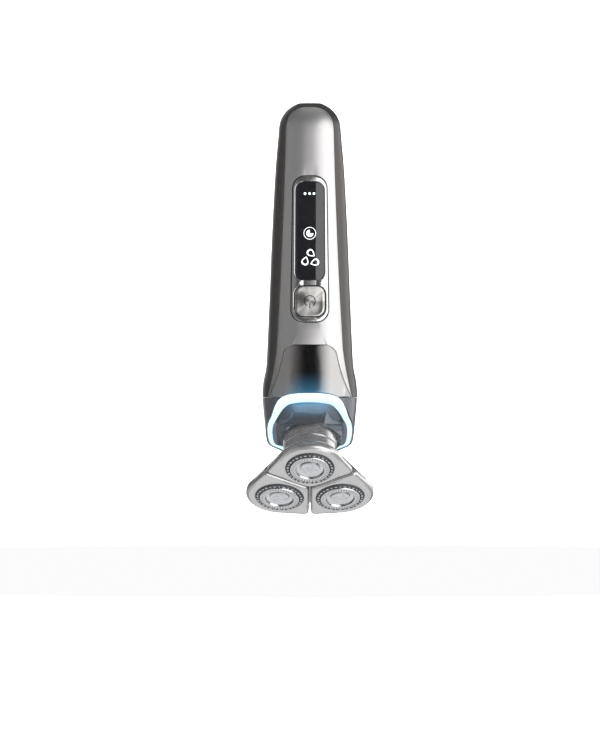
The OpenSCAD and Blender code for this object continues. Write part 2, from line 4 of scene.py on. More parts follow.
import bpy
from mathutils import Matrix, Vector


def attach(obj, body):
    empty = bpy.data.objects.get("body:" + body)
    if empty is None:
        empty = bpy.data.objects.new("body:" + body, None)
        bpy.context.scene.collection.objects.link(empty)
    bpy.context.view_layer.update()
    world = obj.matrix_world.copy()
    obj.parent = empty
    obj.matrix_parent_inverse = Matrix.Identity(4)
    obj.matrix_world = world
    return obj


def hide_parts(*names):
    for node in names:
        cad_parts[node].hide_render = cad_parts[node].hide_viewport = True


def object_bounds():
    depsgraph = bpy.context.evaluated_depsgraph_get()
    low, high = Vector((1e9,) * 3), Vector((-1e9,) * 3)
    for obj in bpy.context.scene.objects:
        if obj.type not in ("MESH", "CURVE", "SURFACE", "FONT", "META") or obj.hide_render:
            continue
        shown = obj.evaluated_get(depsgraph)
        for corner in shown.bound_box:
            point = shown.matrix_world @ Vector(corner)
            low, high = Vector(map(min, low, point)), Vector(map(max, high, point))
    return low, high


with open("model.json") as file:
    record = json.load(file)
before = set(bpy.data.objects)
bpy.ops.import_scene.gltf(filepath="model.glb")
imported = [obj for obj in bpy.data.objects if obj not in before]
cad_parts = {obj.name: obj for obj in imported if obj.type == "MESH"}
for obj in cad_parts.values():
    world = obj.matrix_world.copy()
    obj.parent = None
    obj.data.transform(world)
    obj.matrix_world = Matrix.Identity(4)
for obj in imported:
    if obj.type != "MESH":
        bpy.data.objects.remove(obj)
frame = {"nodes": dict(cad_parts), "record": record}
cad_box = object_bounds()

MM = 0.001

# ---- Driving sizes, in millimetres, as in the CAD part ------------------------------------

SEAM_DEPTH = 135.2
DOME_LENGTH = 12.1
DOME_START = 0.8
SECTION_POWER = 2.4
NECK_TILT = math.radians(34)
FACE_DEPTH = 175.9
FACE_FORWARD = 22.2
NECK_R = 12.3
MOUTH_HEIGHT = 34.5
CHEEK_DROP = 3.1
BUTTON_DEPTH = 91.2
HEAD_CIRCLE = 16.0
HEAD_LEAN = math.radians(4)
HEAD_ANGLES = [math.radians(a) for a in (270, 30, 150)]
TRACK_R = 11.0
GUARD_SLOTS = 40
PETAL_GAP = 1.0

# Depth, half width, front and back of the handle, before its end is domed.
STATIONS = [
    (-20, 13.2, 9.6, 11.2), (0, 14, 10.6, 12), (11, 14.2, 11.4, 13.2), (30, 15.8, 12.6, 15),
    (60, 17.4, 14, 16.4), (90, 18.6, 15.4, 16.8), (115, 19.7, 17.4, 17.6),
    (122, 20.2, 18.4, 18.2), (128, 21.4, 19.4, 18.9), (135, 21.8, 20.3, 19.6),
    (150, 20.5, 21, 20.4), (170, 18.6, 21, 20.4), (190, 17, 21, 20),
]

# ---- Curves of the handle -----------------------------------------------------------------


def smooth(rows, s, k):
    """Catmull-Rom curve through column k of the rows, at depth s."""
    i = 1
    while i < len(rows) - 3 and s >= rows[i + 1][0]:
        i += 1
    p0, p1, p2, p3 = rows[i - 1], rows[i], rows[i + 1], rows[i + 2]
    span = p2[0] - p1[0]
    u = (s - p1[0]) / span
    m1 = span * (p2[k] - p0[k]) / (p2[0] - p0[0])
    m2 = span * (p3[k] - p1[k]) / (p3[0] - p1[0])
    return ((2 * u**3 - 3 * u**2 + 1) * p1[k] + (u**3 - 2 * u**2 + u) * m1
            + (3 * u**2 - 2 * u**3) * p2[k] + (u**3 - u**2) * m2)


def dome(s):
    """Share of the full section that is left at depth s: less than 1 near the end only."""
    gone = max(0.0, DOME_LENGTH - DOME_START - s) / DOME_LENGTH
    return math.sqrt(1 - gone * gone)


def half_width(s):
    return smooth(STATIONS, s, 1) * dome(s)


def middle_y(s):
    return (smooth(STATIONS, s, 3) - smooth(STATIONS, s, 2)) / 2 * dome(s)


def half_depth(s):
    return (smooth(STATIONS, s, 3) + smooth(STATIONS, s, 2)) / 2 * dome(s)


def signed_power(v, p):
    """Power of the size of v, with the sign of v."""
    return math.copysign(abs(v) ** p, v)


def skin(angle, s, inset=0.0):
    """Point of the handle's skin, at an angle round its section."""
    p = 2 / SECTION_POWER
    return Vector((
        (half_width(s) - inset) * signed_power(math.cos(angle), p),
        middle_y(s) + (half_depth(s) - inset) * signed_power(math.sin(angle), p),
        -s,
    ))


def front_point(x, s, inset=0.0):
    """Point of the skin's front half at a given x."""
    w = half_width(s) - inset
    t = min(1.0, abs(x) / w)
    y = middle_y(s) - (half_depth(s) - inset) * (1 - t**SECTION_POWER) ** (1 / SECTION_POWER)
    return Vector((x, y, -s))


def front_angle(x, s):
    """Angle round the section of the front point at x."""
    c = max(-1.0, min(1.0, x / half_width(s)))
    return -math.acos(signed_power(c, SECTION_POWER / 2))


def slant_depth(y, height):
    """Depth at which a plane across the neck, at a height up it, meets a given y."""
    rise = height - (y + FACE_FORWARD) * math.sin(NECK_TILT)
    return FACE_DEPTH - rise / math.cos(NECK_TILT)


def ease(u):
    """Smooth step from 0 to 1."""
    v = max(0.0, min(1.0, u))
    return v * v * (3 - 2 * v)


def from_front(angle):
    """Degrees round the handle from its front."""
    return abs((math.degrees(angle) + 270) % 360 - 180)


def cheek(angle):
    """How far the mouth's border dips below its plane, on the flanks only."""
    turn = from_front(angle)
    return CHEEK_DROP * ease((turn - 24) / 38) * (1 - ease((turn - 95) / 45))


def slant_point(angle, height, inset=0.0):
    """Point where the skin meets the mouth's border, at a height along the neck."""
    s = 150.0
    for _ in range(12):
        s = slant_depth(skin(angle, s, inset).y, height - cheek(angle))
    return skin(angle, s, inset)


def from_neck(x, y, z):
    """Point of the neck's own frame, z up the neck from the shaving face."""
    c, k = math.cos(NECK_TILT), math.sin(NECK_TILT)
    return Vector((x, -FACE_FORWARD + y * c + z * k, -FACE_DEPTH - y * k + z * c))


def from_head(i, x, y, z):
    """Point of head i's own frame, x away from the unit's middle."""
    c, k = math.cos(HEAD_LEAN), math.sin(HEAD_LEAN)
    r, h = HEAD_CIRCLE + x * c - z * k, x * k + z * c
    a = HEAD_ANGLES[i]
    return from_neck(r * math.cos(a) - y * math.sin(a), r * math.sin(a) + y * math.cos(a), h)


# The satin panel: its end, the length and half width of its round tip, and its horns.
PANEL_TOP = 2.0
TIP_LENGTH = 13.0
TIP_HALF = 11.1
HORN_START = 112.0
HORN_SPREAD = 2.7
# The front cover: its end, its round corners, and its half width before and after them.
COVER_TOP = 111.1
COVER_CORNER = 4.9
COVER_HALF_TOP = 7.4
COVER_HALF_CORNER = 12.4
# Wall of the housing, cover and collar, and wall of the panel and the bezel.
SHELL_WALL = 2.0
PANEL_WALL = 1.6


def panel_half(s):
    """Half width of the panel: a round tip, a slow flare, then two horns."""
    u = min(1.0, (s - PANEL_TOP) / TIP_LENGTH)
    d = s - PANEL_TOP - TIP_LENGTH
    flare = TIP_HALF + 0.023 * d + 0.000193 * d * d
    horn = HORN_SPREAD * (max(0.0, s - HORN_START) / (SEAM_DEPTH - HORN_START)) ** 1.5
    return max(0.0, 1 - (1 - u) ** 3) ** 0.38 * flare + horn


def cover_half(s):
    """Half width of the front cover: round upper corners, then a flare."""
    u = min(1.0, max(0.0, (s - COVER_TOP) / COVER_CORNER))
    d = max(0.0, s - COVER_TOP - COVER_CORNER)
    return (COVER_HALF_TOP + (COVER_HALF_CORNER - COVER_HALF_TOP) * (1 - (1 - u) ** 2) ** 0.75
            + 0.2 * d + 0.0076 * d * d)


# ---- Mesh makers --------------------------------------------------------------------------


def linspace(a, b, n):
    """n evenly spaced numbers from a to b, both included."""
    return [a + (b - a) * i / (n - 1) for i in range(n)]


def outward(points, faces):
    """The faces, turned so that their normals point out of the solid they close."""
    volume = sum(points[f[0]].cross(points[f[k]]).dot(points[f[k + 1]])
                 for f in faces for k in range(1, len(f) - 1))
    return faces if volume > 0 else [tuple(reversed(f)) for f in faces]


def new_object(name, points, faces, material, sharp=35):
    """Object from points in millimetres, smooth up to the sharp angle in degrees."""
    mesh = bpy.data.meshes.new(name)
    mesh.from_pydata([p * MM for p in points], [], outward(points, faces))
    mesh.validate()
    mesh.update()
    obj = bpy.data.objects.new(name, mesh)
    bpy.context.collection.objects.link(obj)
    mesh.materials.append(MATERIALS[material])
    mesh.shade_smooth()
    mesh.set_sharp_from_angle(angle=math.radians(sharp))
    return obj


def grid_shell(name, outer, inner, material, keep=None, wrap=False, sharp=35):
    """Closed shell between two grids of points. keep(i, j) says which cells it has."""
    rows, columns = len(outer), len(outer[0])
    cells = columns if wrap else columns - 1
    shift = rows * columns
    points = [p for r in outer for p in r] + [p for r in inner for p in r]

    def corner(i, j):
        return i * columns + j % columns

    kept = {(i, j) for i in range(rows - 1) for j in range(cells)
            if keep is None or keep(i, j)}
    faces = []
    for i, j in sorted(kept):
        a, b, c, d = corner(i, j), corner(i, j + 1), corner(i + 1, j + 1), corner(i + 1, j)
        faces.append((a, b, c, d))
        faces.append((d + shift, c + shift, b + shift, a + shift))
        left = (i, (j - 1) % cells if wrap else j - 1)
        right = (i, (j + 1) % cells if wrap else j + 1)
        for neighbour, (p, q) in (((i - 1, j), (b, a)), ((i + 1, j), (d, c)),
                                  (left, (a, d)), (right, (c, b))):
            if neighbour not in kept:
                faces.append((p, q, q + shift, p + shift))
    used = sorted({v for f in faces for v in f})
    place = {v: k for k, v in enumerate(used)}
    return new_object(name, [points[v] for v in used],
                      [tuple(place[v] for v in f) for f in faces], material, sharp)


def band_faces(rings, m, closed=False, start=0):
    """Faces between rings of m points, and from the last ring to the first if closed."""
    return [(start + j * m + i, start + j * m + (i + 1) % m,
             start + (j + 1) % rings * m + (i + 1) % m, start + (j + 1) % rings * m + i)
            for j in range(rings if closed else rings - 1) for i in range(m)]


def hoop(name, loops, material, sharp=35):
    """Closed hoop through loops of points that run round its cross-section."""
    return new_object(name, [p for loop in loops for p in loop],
                      band_faces(len(loops), len(loops[0]), True), material, sharp)


def capped(name, loops, material):
    """Solid through a stack of loops, closed by a fan at each end."""
    m = len(loops[0])
    points = [p for loop in loops for p in loop]
    faces = band_faces(len(loops), m)
    for loop, start, flip in ((loops[0], 0, True), (loops[-1], (len(loops) - 1) * m, False)):
        points.append(sum(loop, Vector()) / m)
        for i in range(m):
            face = (start + i, start + (i + 1) % m, len(points) - 1)
            faces.append(face[::-1] if flip else face)
    return new_object(name, points, faces, material)


def full_turn(count):
    return [2 * math.pi * i / count for i in range(count)]


def polar(place, r, a, z):
    """Point at a radius and an angle, in the frame that place maps from."""
    return place(r * math.cos(a), r * math.sin(a), z)


def turned(name, profile, place, material, count, sharp=35):
    """Hoop turned from a closed profile of (radius, height)."""
    loops = [[polar(place, r, a, z) for a in full_turn(count)] for r, z in profile]
    return hoop(name, loops, material, sharp)


# ---- Materials ----------------------------------------------------------------------------


class Nodes:
    """Small helper that wires a Principled material with procedural detail."""

    def __init__(self, name, colour, roughness, metallic=0.0, **sockets):
        self.material = bpy.data.materials.new(name)
        self.material.use_nodes = True
        self.tree = self.material.node_tree
        self.shader = self.tree.nodes["Principled BSDF"]
        self.shader.inputs["Base Color"].default_value = (*colour, 1)
        self.shader.inputs["Roughness"].default_value = roughness
        self.shader.inputs["Metallic"].default_value = metallic
        for key, value in sockets.items():
            self.shader.inputs[key.replace("_", " ")].default_value = value
        self.material.diffuse_color = (*colour, 1)

    def add(self, kind, **settings):
        node = self.tree.nodes.new(kind)
        for key, value in settings.items():
            if key in node.inputs:
                node.inputs[key].default_value = value
            else:
                setattr(node, key, value)
        return node

    def link(self, a, b):
        self.tree.links.new(a, b)

    def feed(self, node, values):
        """Fills a node's inputs in order, each from a socket or with a plain value."""
        for socket, value in zip(node.inputs, values):
            if isinstance(value, bpy.types.NodeSocket):
                self.link(value, socket)
            else:
                socket.default_value = value
        return node

    def where(self):
        return self.add("ShaderNodeTexCoord").outputs["Object"]

    def position(self, location=(0, 0, 0)):
        mapping = self.add("ShaderNodeMapping")
        mapping.inputs["Location"].default_value = location
        self.link(self.where(), mapping.inputs["Vector"])
        return mapping.outputs["Vector"]

    def parts(self, vector):
        return self.feed(self.add("ShaderNodeSeparateXYZ"), [vector]).outputs

    def math(self, operation, *values):
        return self.feed(self.add("ShaderNodeMath", operation=operation), values).outputs[0]

    def vector_math(self, operation, *values):
        """Vector arithmetic. A length or a dot product comes out as a number."""
        node = self.feed(self.add("ShaderNodeVectorMath", operation=operation), values)
        return node.outputs["Value" if operation in ("LENGTH", "DOT_PRODUCT") else "Vector"]

    def noise(self, vector, scale, detail=3.0, roughness=0.5):
        node = self.add("ShaderNodeTexNoise", Scale=scale, Detail=detail, Roughness=roughness)
        self.link(vector, node.inputs["Vector"])
        return node.outputs["Fac"]

    def streaks(self, value, scale, detail):
        """Noise along one number, for brushing."""
        node = self.add("ShaderNodeTexNoise", noise_dimensions="1D", Scale=scale, Detail=detail)
        self.link(value, node.inputs["W"])
        return node.outputs["Fac"]

    def ramp(self, value, start, end, low=0.0, high=1.0, kind="LINEAR"):
        node = self.add("ShaderNodeMapRange", interpolation_type=kind)
        for socket, number in (("From Min", start), ("From Max", end), ("To Min", low),
                               ("To Max", high)):
            node.inputs[socket].default_value = number
        self.link(value, node.inputs["Value"])
        return node.outputs["Result"]

    def vary_roughness(self, value, low, high):
        self.link(self.ramp(value, 0.25, 0.75, low, high), self.shader.inputs["Roughness"])

    def vary_colour(self, value, dark, light, start=0.3, end=0.7):
        node = self.add("ShaderNodeValToRGB")
        for stop, place, colour in zip(node.color_ramp.elements, (start, end), (dark, light)):
            stop.position = place
            stop.color = (*colour, 1)
        self.link(value, node.inputs["Fac"])
        self.link(node.outputs["Color"], self.shader.inputs["Base Color"])

    def bump(self, value, strength, distance):
        node = self.add("ShaderNodeBump", Strength=strength, Distance=distance)
        self.link(value, node.inputs["Height"])
        self.link(node.outputs["Normal"], self.shader.inputs["Normal"])


def tint(colour, factor):
    """The colour made darker or lighter."""
    return tuple(min(1.0, c * factor) for c in colour)


def satin_metal(name, colour, roughness=0.3, flake=2600, metallic=0.9, **sockets):
    """Metal-effect lacquer: fine flakes in its colour, a faint unevenness in its sheen."""
    n = Nodes(name, colour, roughness, metallic, **sockets)
    where = n.position()
    n.vary_colour(n.noise(where, flake, 2), tint(colour, 0.965), tint(colour, 1.035))
    n.vary_roughness(n.noise(where, 240, 3), roughness - 0.012, roughness + 0.015)
    n.bump(n.noise(where, 2400, 2), 0.008, 0.00002)
    return n.material


def moulded(name, colour, roughness=0.42, grain=1500, strength=0.12, **sockets):
    """Moulded plastic with a spark-eroded grain and a slightly uneven sheen."""
    n = Nodes(name, colour, roughness, 0.0, **sockets)
    where = n.position()
    n.vary_colour(n.noise(where, 60, 2), tint(colour, 0.92), tint(colour, 1.1))
    n.vary_roughness(n.noise(where, 120, 4), roughness - 0.05, roughness + 0.06)
    n.bump(n.noise(where, grain, 2), strength, 0.00008)
    return n.material


def glossy(name, colour, roughness=0.06, **sockets):
    """Polished plastic or coated glass, with faint handling haze."""
    n = Nodes(name, colour, roughness, 0.0, **sockets)
    where = n.position()
    n.vary_colour(n.noise(where, 40, 2), tint(colour, 0.9), tint(colour, 1.15))
    n.vary_roughness(n.noise(where, 70, 5, 0.6), roughness * 0.8, roughness * 1.35)
    return n.material


def polished(name, colour, roughness):
    """Bare polished metal with faint handling marks."""
    n = Nodes(name, colour, roughness, 1.0)
    where = n.position()
    n.vary_colour(n.noise(where, 300, 3), tint(colour, 0.92), tint(colour, 1.05))
    n.vary_roughness(n.noise(where, 1800, 3), roughness * 0.8, roughness * 1.4)
    n.bump(n.noise(where, 1800, 2), 0.02, 0.00003)
    return n.material


def spun_metal(name, colour, centre, rotation, roughness, rings):
    """Metal brushed in circles round a centre."""
    n = Nodes(name, colour, roughness, 1.0)
    turn = n.add("ShaderNodeVectorRotate", rotation_type="EULER_XYZ", Rotation=rotation)
    n.link(n.vector_math("SUBTRACT", n.where(), centre), turn.inputs["Vector"])
    flat = n.vector_math("MULTIPLY", turn.outputs["Vector"], (1, 1, 0))
    grain = n.streaks(n.vector_math("LENGTH", flat), rings, 4.0)
    n.vary_colour(grain, tint(colour, 0.72), tint(colour, 1.1))
    n.vary_roughness(grain, roughness - 0.07, roughness + 0.1)
    n.bump(grain, 0.12, 0.00004)
    return n.material


def brushed_button(name, colour):
    """Steel brushed in circles round its middle, with an anisotropic sheen, and bright and dark
    sectors painted into its colour by angle as painted highlights.
    """
    n = Nodes(name, colour, 0.33, 1.0, Anisotropic=0.95)
    tangent = n.add("ShaderNodeTangent", direction_type="RADIAL", axis="Y")
    n.link(tangent.outputs["Tangent"], n.shader.inputs["Tangent"])
    centred = n.position(location=(0, 0, BUTTON_DEPTH * MM))
    flat = n.vector_math("MULTIPLY", centred, (1, 0, 1))
    grain = n.streaks(n.vector_math("LENGTH", flat), 9000.0, 3.0)
    parts = n.parts(centred)
    # Painted highlight: colour lightened and darkened by angle round the middle, standing for
    # the light fans of the brushing.
    painted_fans = n.streaks(n.math("ARCTAN2", parts["Z"], parts["X"]), 1.9, 1.0)
    both = n.math("MULTIPLY_ADD", grain, 0.25, n.math("MULTIPLY", painted_fans, 0.75))
    n.vary_colour(both, tint(colour, 0.62), tint(colour, 1.3))
    n.bump(grain, 0.06, 0.00002)
    return n.material


def glowing(name, colour, light, strength, roughness=0.3):
    """Frosted light guide that shines on its own."""
    n = Nodes(name, colour, roughness)
    n.shader.inputs["Emission Color"].default_value = (*light, 1)
    n.shader.inputs["Emission Strength"].default_value = strength
    where = n.position()
    n.vary_roughness(n.noise(where, 200, 2), roughness - 0.05, roughness + 0.05)
    return n.material


def side_ramp(n, start, end):
    """Value that grows from 0 to 1 between two distances from the middle plane."""
    side = n.math("ABSOLUTE", n.parts(n.where())["X"])
    return n.ramp(side, start * MM, end * MM, kind="SMOOTHSTEP")


def add_painted_ring_glow(n, direction, start, end, strength):
    """Painted glow: blue emission standing for the ring's light on this surface, growing
    between two distances along a direction.
    """
    n.shader.inputs["Emission Color"].default_value = (*PAINTED_GLOW_BLUE, 1)
    along = n.vector_math("DOT_PRODUCT", n.where(), direction)
    fade = n.math("POWER", n.ramp(along, start * MM, end * MM), PAINTED_GLOW_POWER)
    middle = n.math("MULTIPLY_ADD", side_ramp(n, *PAINTED_GLOW_SIDES), -0.9 * strength, strength)
    n.link(n.math("MULTIPLY", fade, middle), n.shader.inputs["Emission Strength"])


def smoked_cover(name):
    """Smoked gloss cover: black down its middle, lighter towards its sides as painted
    reflection, with a painted blue glow at its lower end.
    """
    n = Nodes(name, COVER_SIDE_PAINTED_SHEEN, 0.16, 0.85)
    haze = n.noise(n.position(), 500, 3)
    # Painted reflection: the base colour goes from black at the middle plane to light grey
    # metal at the sides.
    painted_sheen = n.math("MULTIPLY_ADD", haze, 0.06, side_ramp(n, 1.5, 11))
    n.vary_colour(painted_sheen, COVER_MIDDLE, COVER_SIDE_PAINTED_SHEEN, 0, 1)
    n.vary_roughness(haze, 0.14, 0.19)
    # Painted glow: the cover's lower end shines blue, standing for the ring's light below it.
    add_painted_ring_glow(n, (0, 0, -1), 123, 136, 0.5)
    return n.material


def painted_glow_collar(name, colour):
    """Collar inside the ring, with the ring's blue light painted on it as a glow."""
    n = Nodes(name, colour, 0.24, 0.75)
    where = n.position()
    n.vary_colour(n.noise(where, 2600, 2), tint(colour, 0.93), tint(colour, 1.06))
    n.vary_roughness(n.noise(where, 240, 3), 0.22, 0.26)
    # Painted glow: blue emission near the mouth, fading down the neck, standing for the ring's
    # light falling on the collar.
    up = (0, math.sin(NECK_TILT), math.cos(NECK_TILT))
    face = up[1] * -FACE_FORWARD + up[2] * -FACE_DEPTH
    add_painted_ring_glow(n, up, face + 28, face + MOUTH_HEIGHT, 0.55)
    return n.material


# Colour of the painted glow: the ring's blue light painted as emission on the cover and the
# collar.
PAINTED_GLOW_BLUE = (0.10, 0.42, 0.72)
# Cover colours: the grey at its sides is painted reflection, the black down its middle is its
# own colour.
COVER_SIDE_PAINTED_SHEEN = (0.34, 0.33, 0.32)
COVER_MIDDLE = (0.012, 0.012, 0.014)
# The painted glow fades from full to faint between these distances from the middle plane.
PAINTED_GLOW_SIDES = (4, 13)
PAINTED_GLOW_POWER = 1.6

MATERIALS = {}


def make_material(maker, name, *settings, **sockets):
    MATERIALS[name] = maker(name, *settings, **sockets)


def make_materials():
    make_material(satin_metal, "shell_dark", (0.075, 0.070, 0.067), 0.34, 3200, 0.7,
                  Specular_IOR_Level=0.3)
    make_material(satin_metal, "panel_silver", (0.60, 0.59, 0.585), 0.42, 3600, 0.96)
    make_material(glossy, "gloss_black", (0.006, 0.006, 0.008), 0.045, Specular_IOR_Level=0.8)
    make_material(smoked_cover, "cover_black")
    make_material(satin_metal, "collar_grey", (0.12, 0.125, 0.14), 0.30, metallic=0.65)
    make_material(glowing, "ring_light", (0.25, 0.36, 0.40), (0.66, 0.90, 0.97), 0.95)
    make_material(painted_glow_collar, "collar_inner", (0.14, 0.15, 0.17))
    make_material(satin_metal, "neck_silver", (0.55, 0.54, 0.55), 0.22)
    make_material(polished, "bezel_chrome", (0.66, 0.655, 0.65), 0.17)
    make_material(brushed_button, "button_steel", (0.66, 0.645, 0.62))
    make_material(moulded, "board_green", (0.02, 0.14, 0.06), 0.45)
    make_material(moulded, "seal_black", (0.018, 0.018, 0.02), 0.7, 900, 0.3)
    make_material(moulded, "inner_plastic", (0.05, 0.052, 0.058), 0.55)
    make_material(glossy, "battery_wrap", (0.05, 0.16, 0.38), 0.3)
    make_material(polished, "brass_contact", (0.80, 0.62, 0.30), 0.18)
    make_material(polished, "motor_steel", (0.55, 0.55, 0.56), 0.3)
    make_material(moulded, "socket_black", (0.015, 0.015, 0.017), 0.4)
    make_material(polished, "screw_steel", (0.62, 0.62, 0.63), 0.25)
    make_material(moulded, "gear_nylon", (0.72, 0.69, 0.62), 0.5, 1200, 0.1,
                  Subsurface_Weight=0.08)
    make_material(satin_metal, "unit_silver", (0.52, 0.515, 0.51), 0.30)
    make_material(satin_metal, "petal_silver", (0.56, 0.555, 0.55), 0.27)
    make_material(glossy, "track_dark", (0.035, 0.038, 0.042), 0.25)
    make_material(polished, "guard_steel", (0.72, 0.72, 0.72), 0.16)
    make_material(polished, "cap_steel", (0.62, 0.63, 0.64), 0.2)
    make_material(glowing, "icon_white", (0.6, 0.65, 0.65), (0.9, 0.97, 1.0), 0.75)
    make_material(moulded, "shadow_black", (0.006, 0.006, 0.007), 0.6)
    make_material(polished, "mark_steel", (0.55, 0.56, 0.57), 0.3)


def dress_cad_nodes():
    """Gives every node that is carried over from the CAD its slot's material."""
    for row in frame["record"]["subparts"]:
        materials = frame["nodes"][row["node"]].data.materials
        materials.clear()
        materials.append(MATERIALS[row["material_slot"]])


def piece(obj, body, slot, *nodes):
    """Rides an object on a body and hides the CAD nodes that it stands for."""
    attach(obj, body)
    if nodes:
        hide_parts(*nodes)
    return obj


# ---- Stage: camera, lights, floor ---------------------------------------------------------

MIDDLE = (cad_box[0] + cad_box[1]) / 2
CAMERA_DISTANCE = 3.0
CAMERA_X = -0.0045
CAMERA_Z = -0.125
SENSOR = 36.0
# The photographed frame is 345 mm high at the object.
VIEW_HEIGHT = 0.345
# The floor lies low enough for the pulled-off unit and holder to stay above it.
FLOOR_GAP = 0.024
FLOOR_REACH = 5.0
FLOOR_BEND = 1.0
BACKDROP_HEIGHT = 5.0


def make_camera():
    data = bpy.data.cameras.new("camera")
    data.sensor_width = SENSOR
    data.lens = SENSOR * CAMERA_DISTANCE / VIEW_HEIGHT
    data.clip_end = 20
    camera = bpy.data.objects.new("camera", data)
    bpy.context.collection.objects.link(camera)
    camera.location = (CAMERA_X, -CAMERA_DISTANCE, CAMERA_Z)
    camera.rotation_euler = (math.radians(90), 0, 0)
    bpy.context.scene.camera = camera


def area_light(name, location, size, radiance):
    """Rectangular lamp aimed at the object, with a stated brightness of its surface."""
    data = bpy.data.lights.new(name, "AREA")
    data.shape = "RECTANGLE"
    data.size, data.size_y = size
    data.energy = radiance * math.pi * size[0] * size[1]
    lamp = bpy.data.objects.new(name, data)
    bpy.context.collection.objects.link(lamp)
    lamp.location = location
    lamp.rotation_euler = (MIDDLE - Vector(location)).to_track_quat("-Z", "Z").to_euler()


def make_lights():
    area_light("key_right", (0.86, -0.98, -0.05), (1.5, 1.9), 2.05)
    area_light("rim_right", (1.15, 0.45, 0.0), (0.9, 1.6), 1.5)
    area_light("fill_left", (-1.1, -0.75, 0.0), (1.2, 1.6), 0.17)
    area_light("top", (0.1, 0.1, 1.1), (0.9, 0.9), 0.35)
    area_light("back", (-0.5, 1.2, 0.3), (0.7, 1.2), 0.9)


def make_world():
    """Dim studio air, brighter below, where the pale floor throws light back."""
    world = bpy.data.worlds.new("studio")
    world.use_nodes = True
    tree = world.node_tree
    background = tree.nodes["Background"]
    background.inputs["Color"].default_value = (0.97, 0.98, 1.0, 1)
    where = tree.nodes.new("ShaderNodeTexCoord")
    parts = tree.nodes.new("ShaderNodeSeparateXYZ")
    ramp = tree.nodes.new("ShaderNodeMapRange")
    for socket, value in (("From Min", -0.35), ("From Max", -0.85), ("To Min", 0.12),
                          ("To Max", 1.0)):
        ramp.inputs[socket].default_value = value
    tree.links.new(where.outputs["Generated"], parts.inputs["Vector"])
    tree.links.new(parts.outputs["Z"], ramp.inputs["Value"])
    tree.links.new(ramp.outputs["Result"], background.inputs["Strength"])
    bpy.context.scene.world = world


def make_floor():
    """Pale sweep all round: a floor that curves up into a round backdrop."""
    material = bpy.data.materials.new("floor_pale")
    material.use_nodes = True
    shader = material.node_tree.nodes["Principled BSDF"]
    shader.inputs["Base Color"].default_value = (0.93, 0.93, 0.93, 1)
    shader.inputs["Roughness"].default_value = 0.9
    shader.inputs["Emission Color"].default_value = (1, 1, 1, 1)
    shader.inputs["Emission Strength"].default_value = 0.97
    floor_z = cad_box[0].z - FLOOR_GAP
    profile = [(0.4, floor_z), (1.5, floor_z), (FLOOR_REACH, floor_z)]
    for a in linspace(0.15, math.pi / 2, 8):
        profile.append((FLOOR_REACH + FLOOR_BEND * math.sin(a),
                        floor_z + FLOOR_BEND * (1 - math.cos(a))))
    profile.append((FLOOR_REACH + FLOOR_BEND, BACKDROP_HEIGHT))
    count = 64
    points = [(r * math.cos(a), r * math.sin(a), z)
              for r, z in profile for a in full_turn(count)]
    faces = [tuple(range(count))] + band_faces(len(profile), count)
    mesh = bpy.data.meshes.new("floor")
    mesh.from_pydata(points, [], faces)
    mesh.materials.append(material)
    mesh.shade_smooth()
    floor = bpy.data.objects.new("floor", mesh)
    bpy.context.collection.objects.link(floor)
    floor.visible_glossy = False


# ---- Handle shells ------------------------------------------------------------------------

GAP = 0.1
PANEL_EDGE = 0.3
PLANE_CUT = MOUTH_HEIGHT + 2.2


def span(a, b, n, edge):
    """Positions from a to b, crowded into rounded edges at both ends."""
    e = min(edge, 0.3 * abs(b - a))
    step = math.copysign(1, b - a)
    side = [0, 0.12 * e, 0.45 * e]
    return ([a + step * d for d in side] + linspace(a + step * e, b - step * e, n)
            + [b - step * d for d in reversed(side)])


def edge_drop(distance, edge):
    """How far a rounded edge falls below the face, at a distance from the border."""
    if distance >= edge:
        return 0.0
    return edge - math.sqrt(max(0.0, edge**2 - (edge - max(0.0, distance)) ** 2))


class Outline:
    """Rounded rectangle on the handle's front: depths, half widths, corner radius."""

    def __init__(self, top, bottom, half_top, half_bottom, corner):
        self.top, self.bottom, self.corner = top, bottom, corner
        self.half_top, self.half_bottom = half_top, half_bottom

    def grown(self, g):
        return Outline(self.top - g, self.bottom + g, self.half_top + g, self.half_bottom + g,
                       self.corner + g)

    def side(self, s):
        f = (s - self.top) / (self.bottom - self.top)
        return self.half_top + (self.half_bottom - self.half_top) * f

    def half(self, s):
        into = min(s - self.top, self.bottom - s)
        if into >= self.corner:
            return self.side(s)
        c = self.corner
        return self.side(s) - c + math.sqrt(max(0.0, c * c - (c - max(0.0, into)) ** 2))

    def distance(self, x, s):
        """Signed distance from the border, positive outside."""
        c = self.corner
        qx = abs(x) - (self.side(s) - c)
        qs = abs(s - (self.top + self.bottom) / 2) - ((self.bottom - self.top) / 2 - c)
        return math.hypot(max(qx, 0), max(qs, 0)) + min(max(qx, qs), 0) - c

    def rows(self, n, corner_steps=11):
        """Depths crowded into the round corners."""
        c = self.corner
        arc = [c * (1 - math.cos(t)) for t in linspace(0.0, math.pi / 2, corner_steps)]
        return ([self.top + d for d in arc]
                + linspace(self.top + c, self.bottom - c, n)[1:-1]
                + [self.bottom - d for d in reversed(arc)])

    def loop(self, n=10):
        """The border as points (x, s), clockwise from the top."""
        points = []
        for cx, cs, start in ((1, -1, -90), (1, 1, 0), (-1, 1, 90), (-1, -1, 180)):
            s0 = self.bottom - self.corner if cs > 0 else self.top + self.corner
            x0 = cx * (self.side(s0) - self.corner)
            for t in linspace(start, start + 90, n):
                a = math.radians(t)
                points.append((x0 + self.corner * math.cos(a), s0 + self.corner * math.sin(a)))
        return points


BEZEL = Outline(33.9, 100.6, 7.65, 8.6, 5.6)
WINDOW = Outline(36.5, 81.7, 6.6, 6.8, 3.8)
BUTTON = Outline(BUTTON_DEPTH - 7, BUTTON_DEPTH + 7, 6.95, 6.95, 4.0)


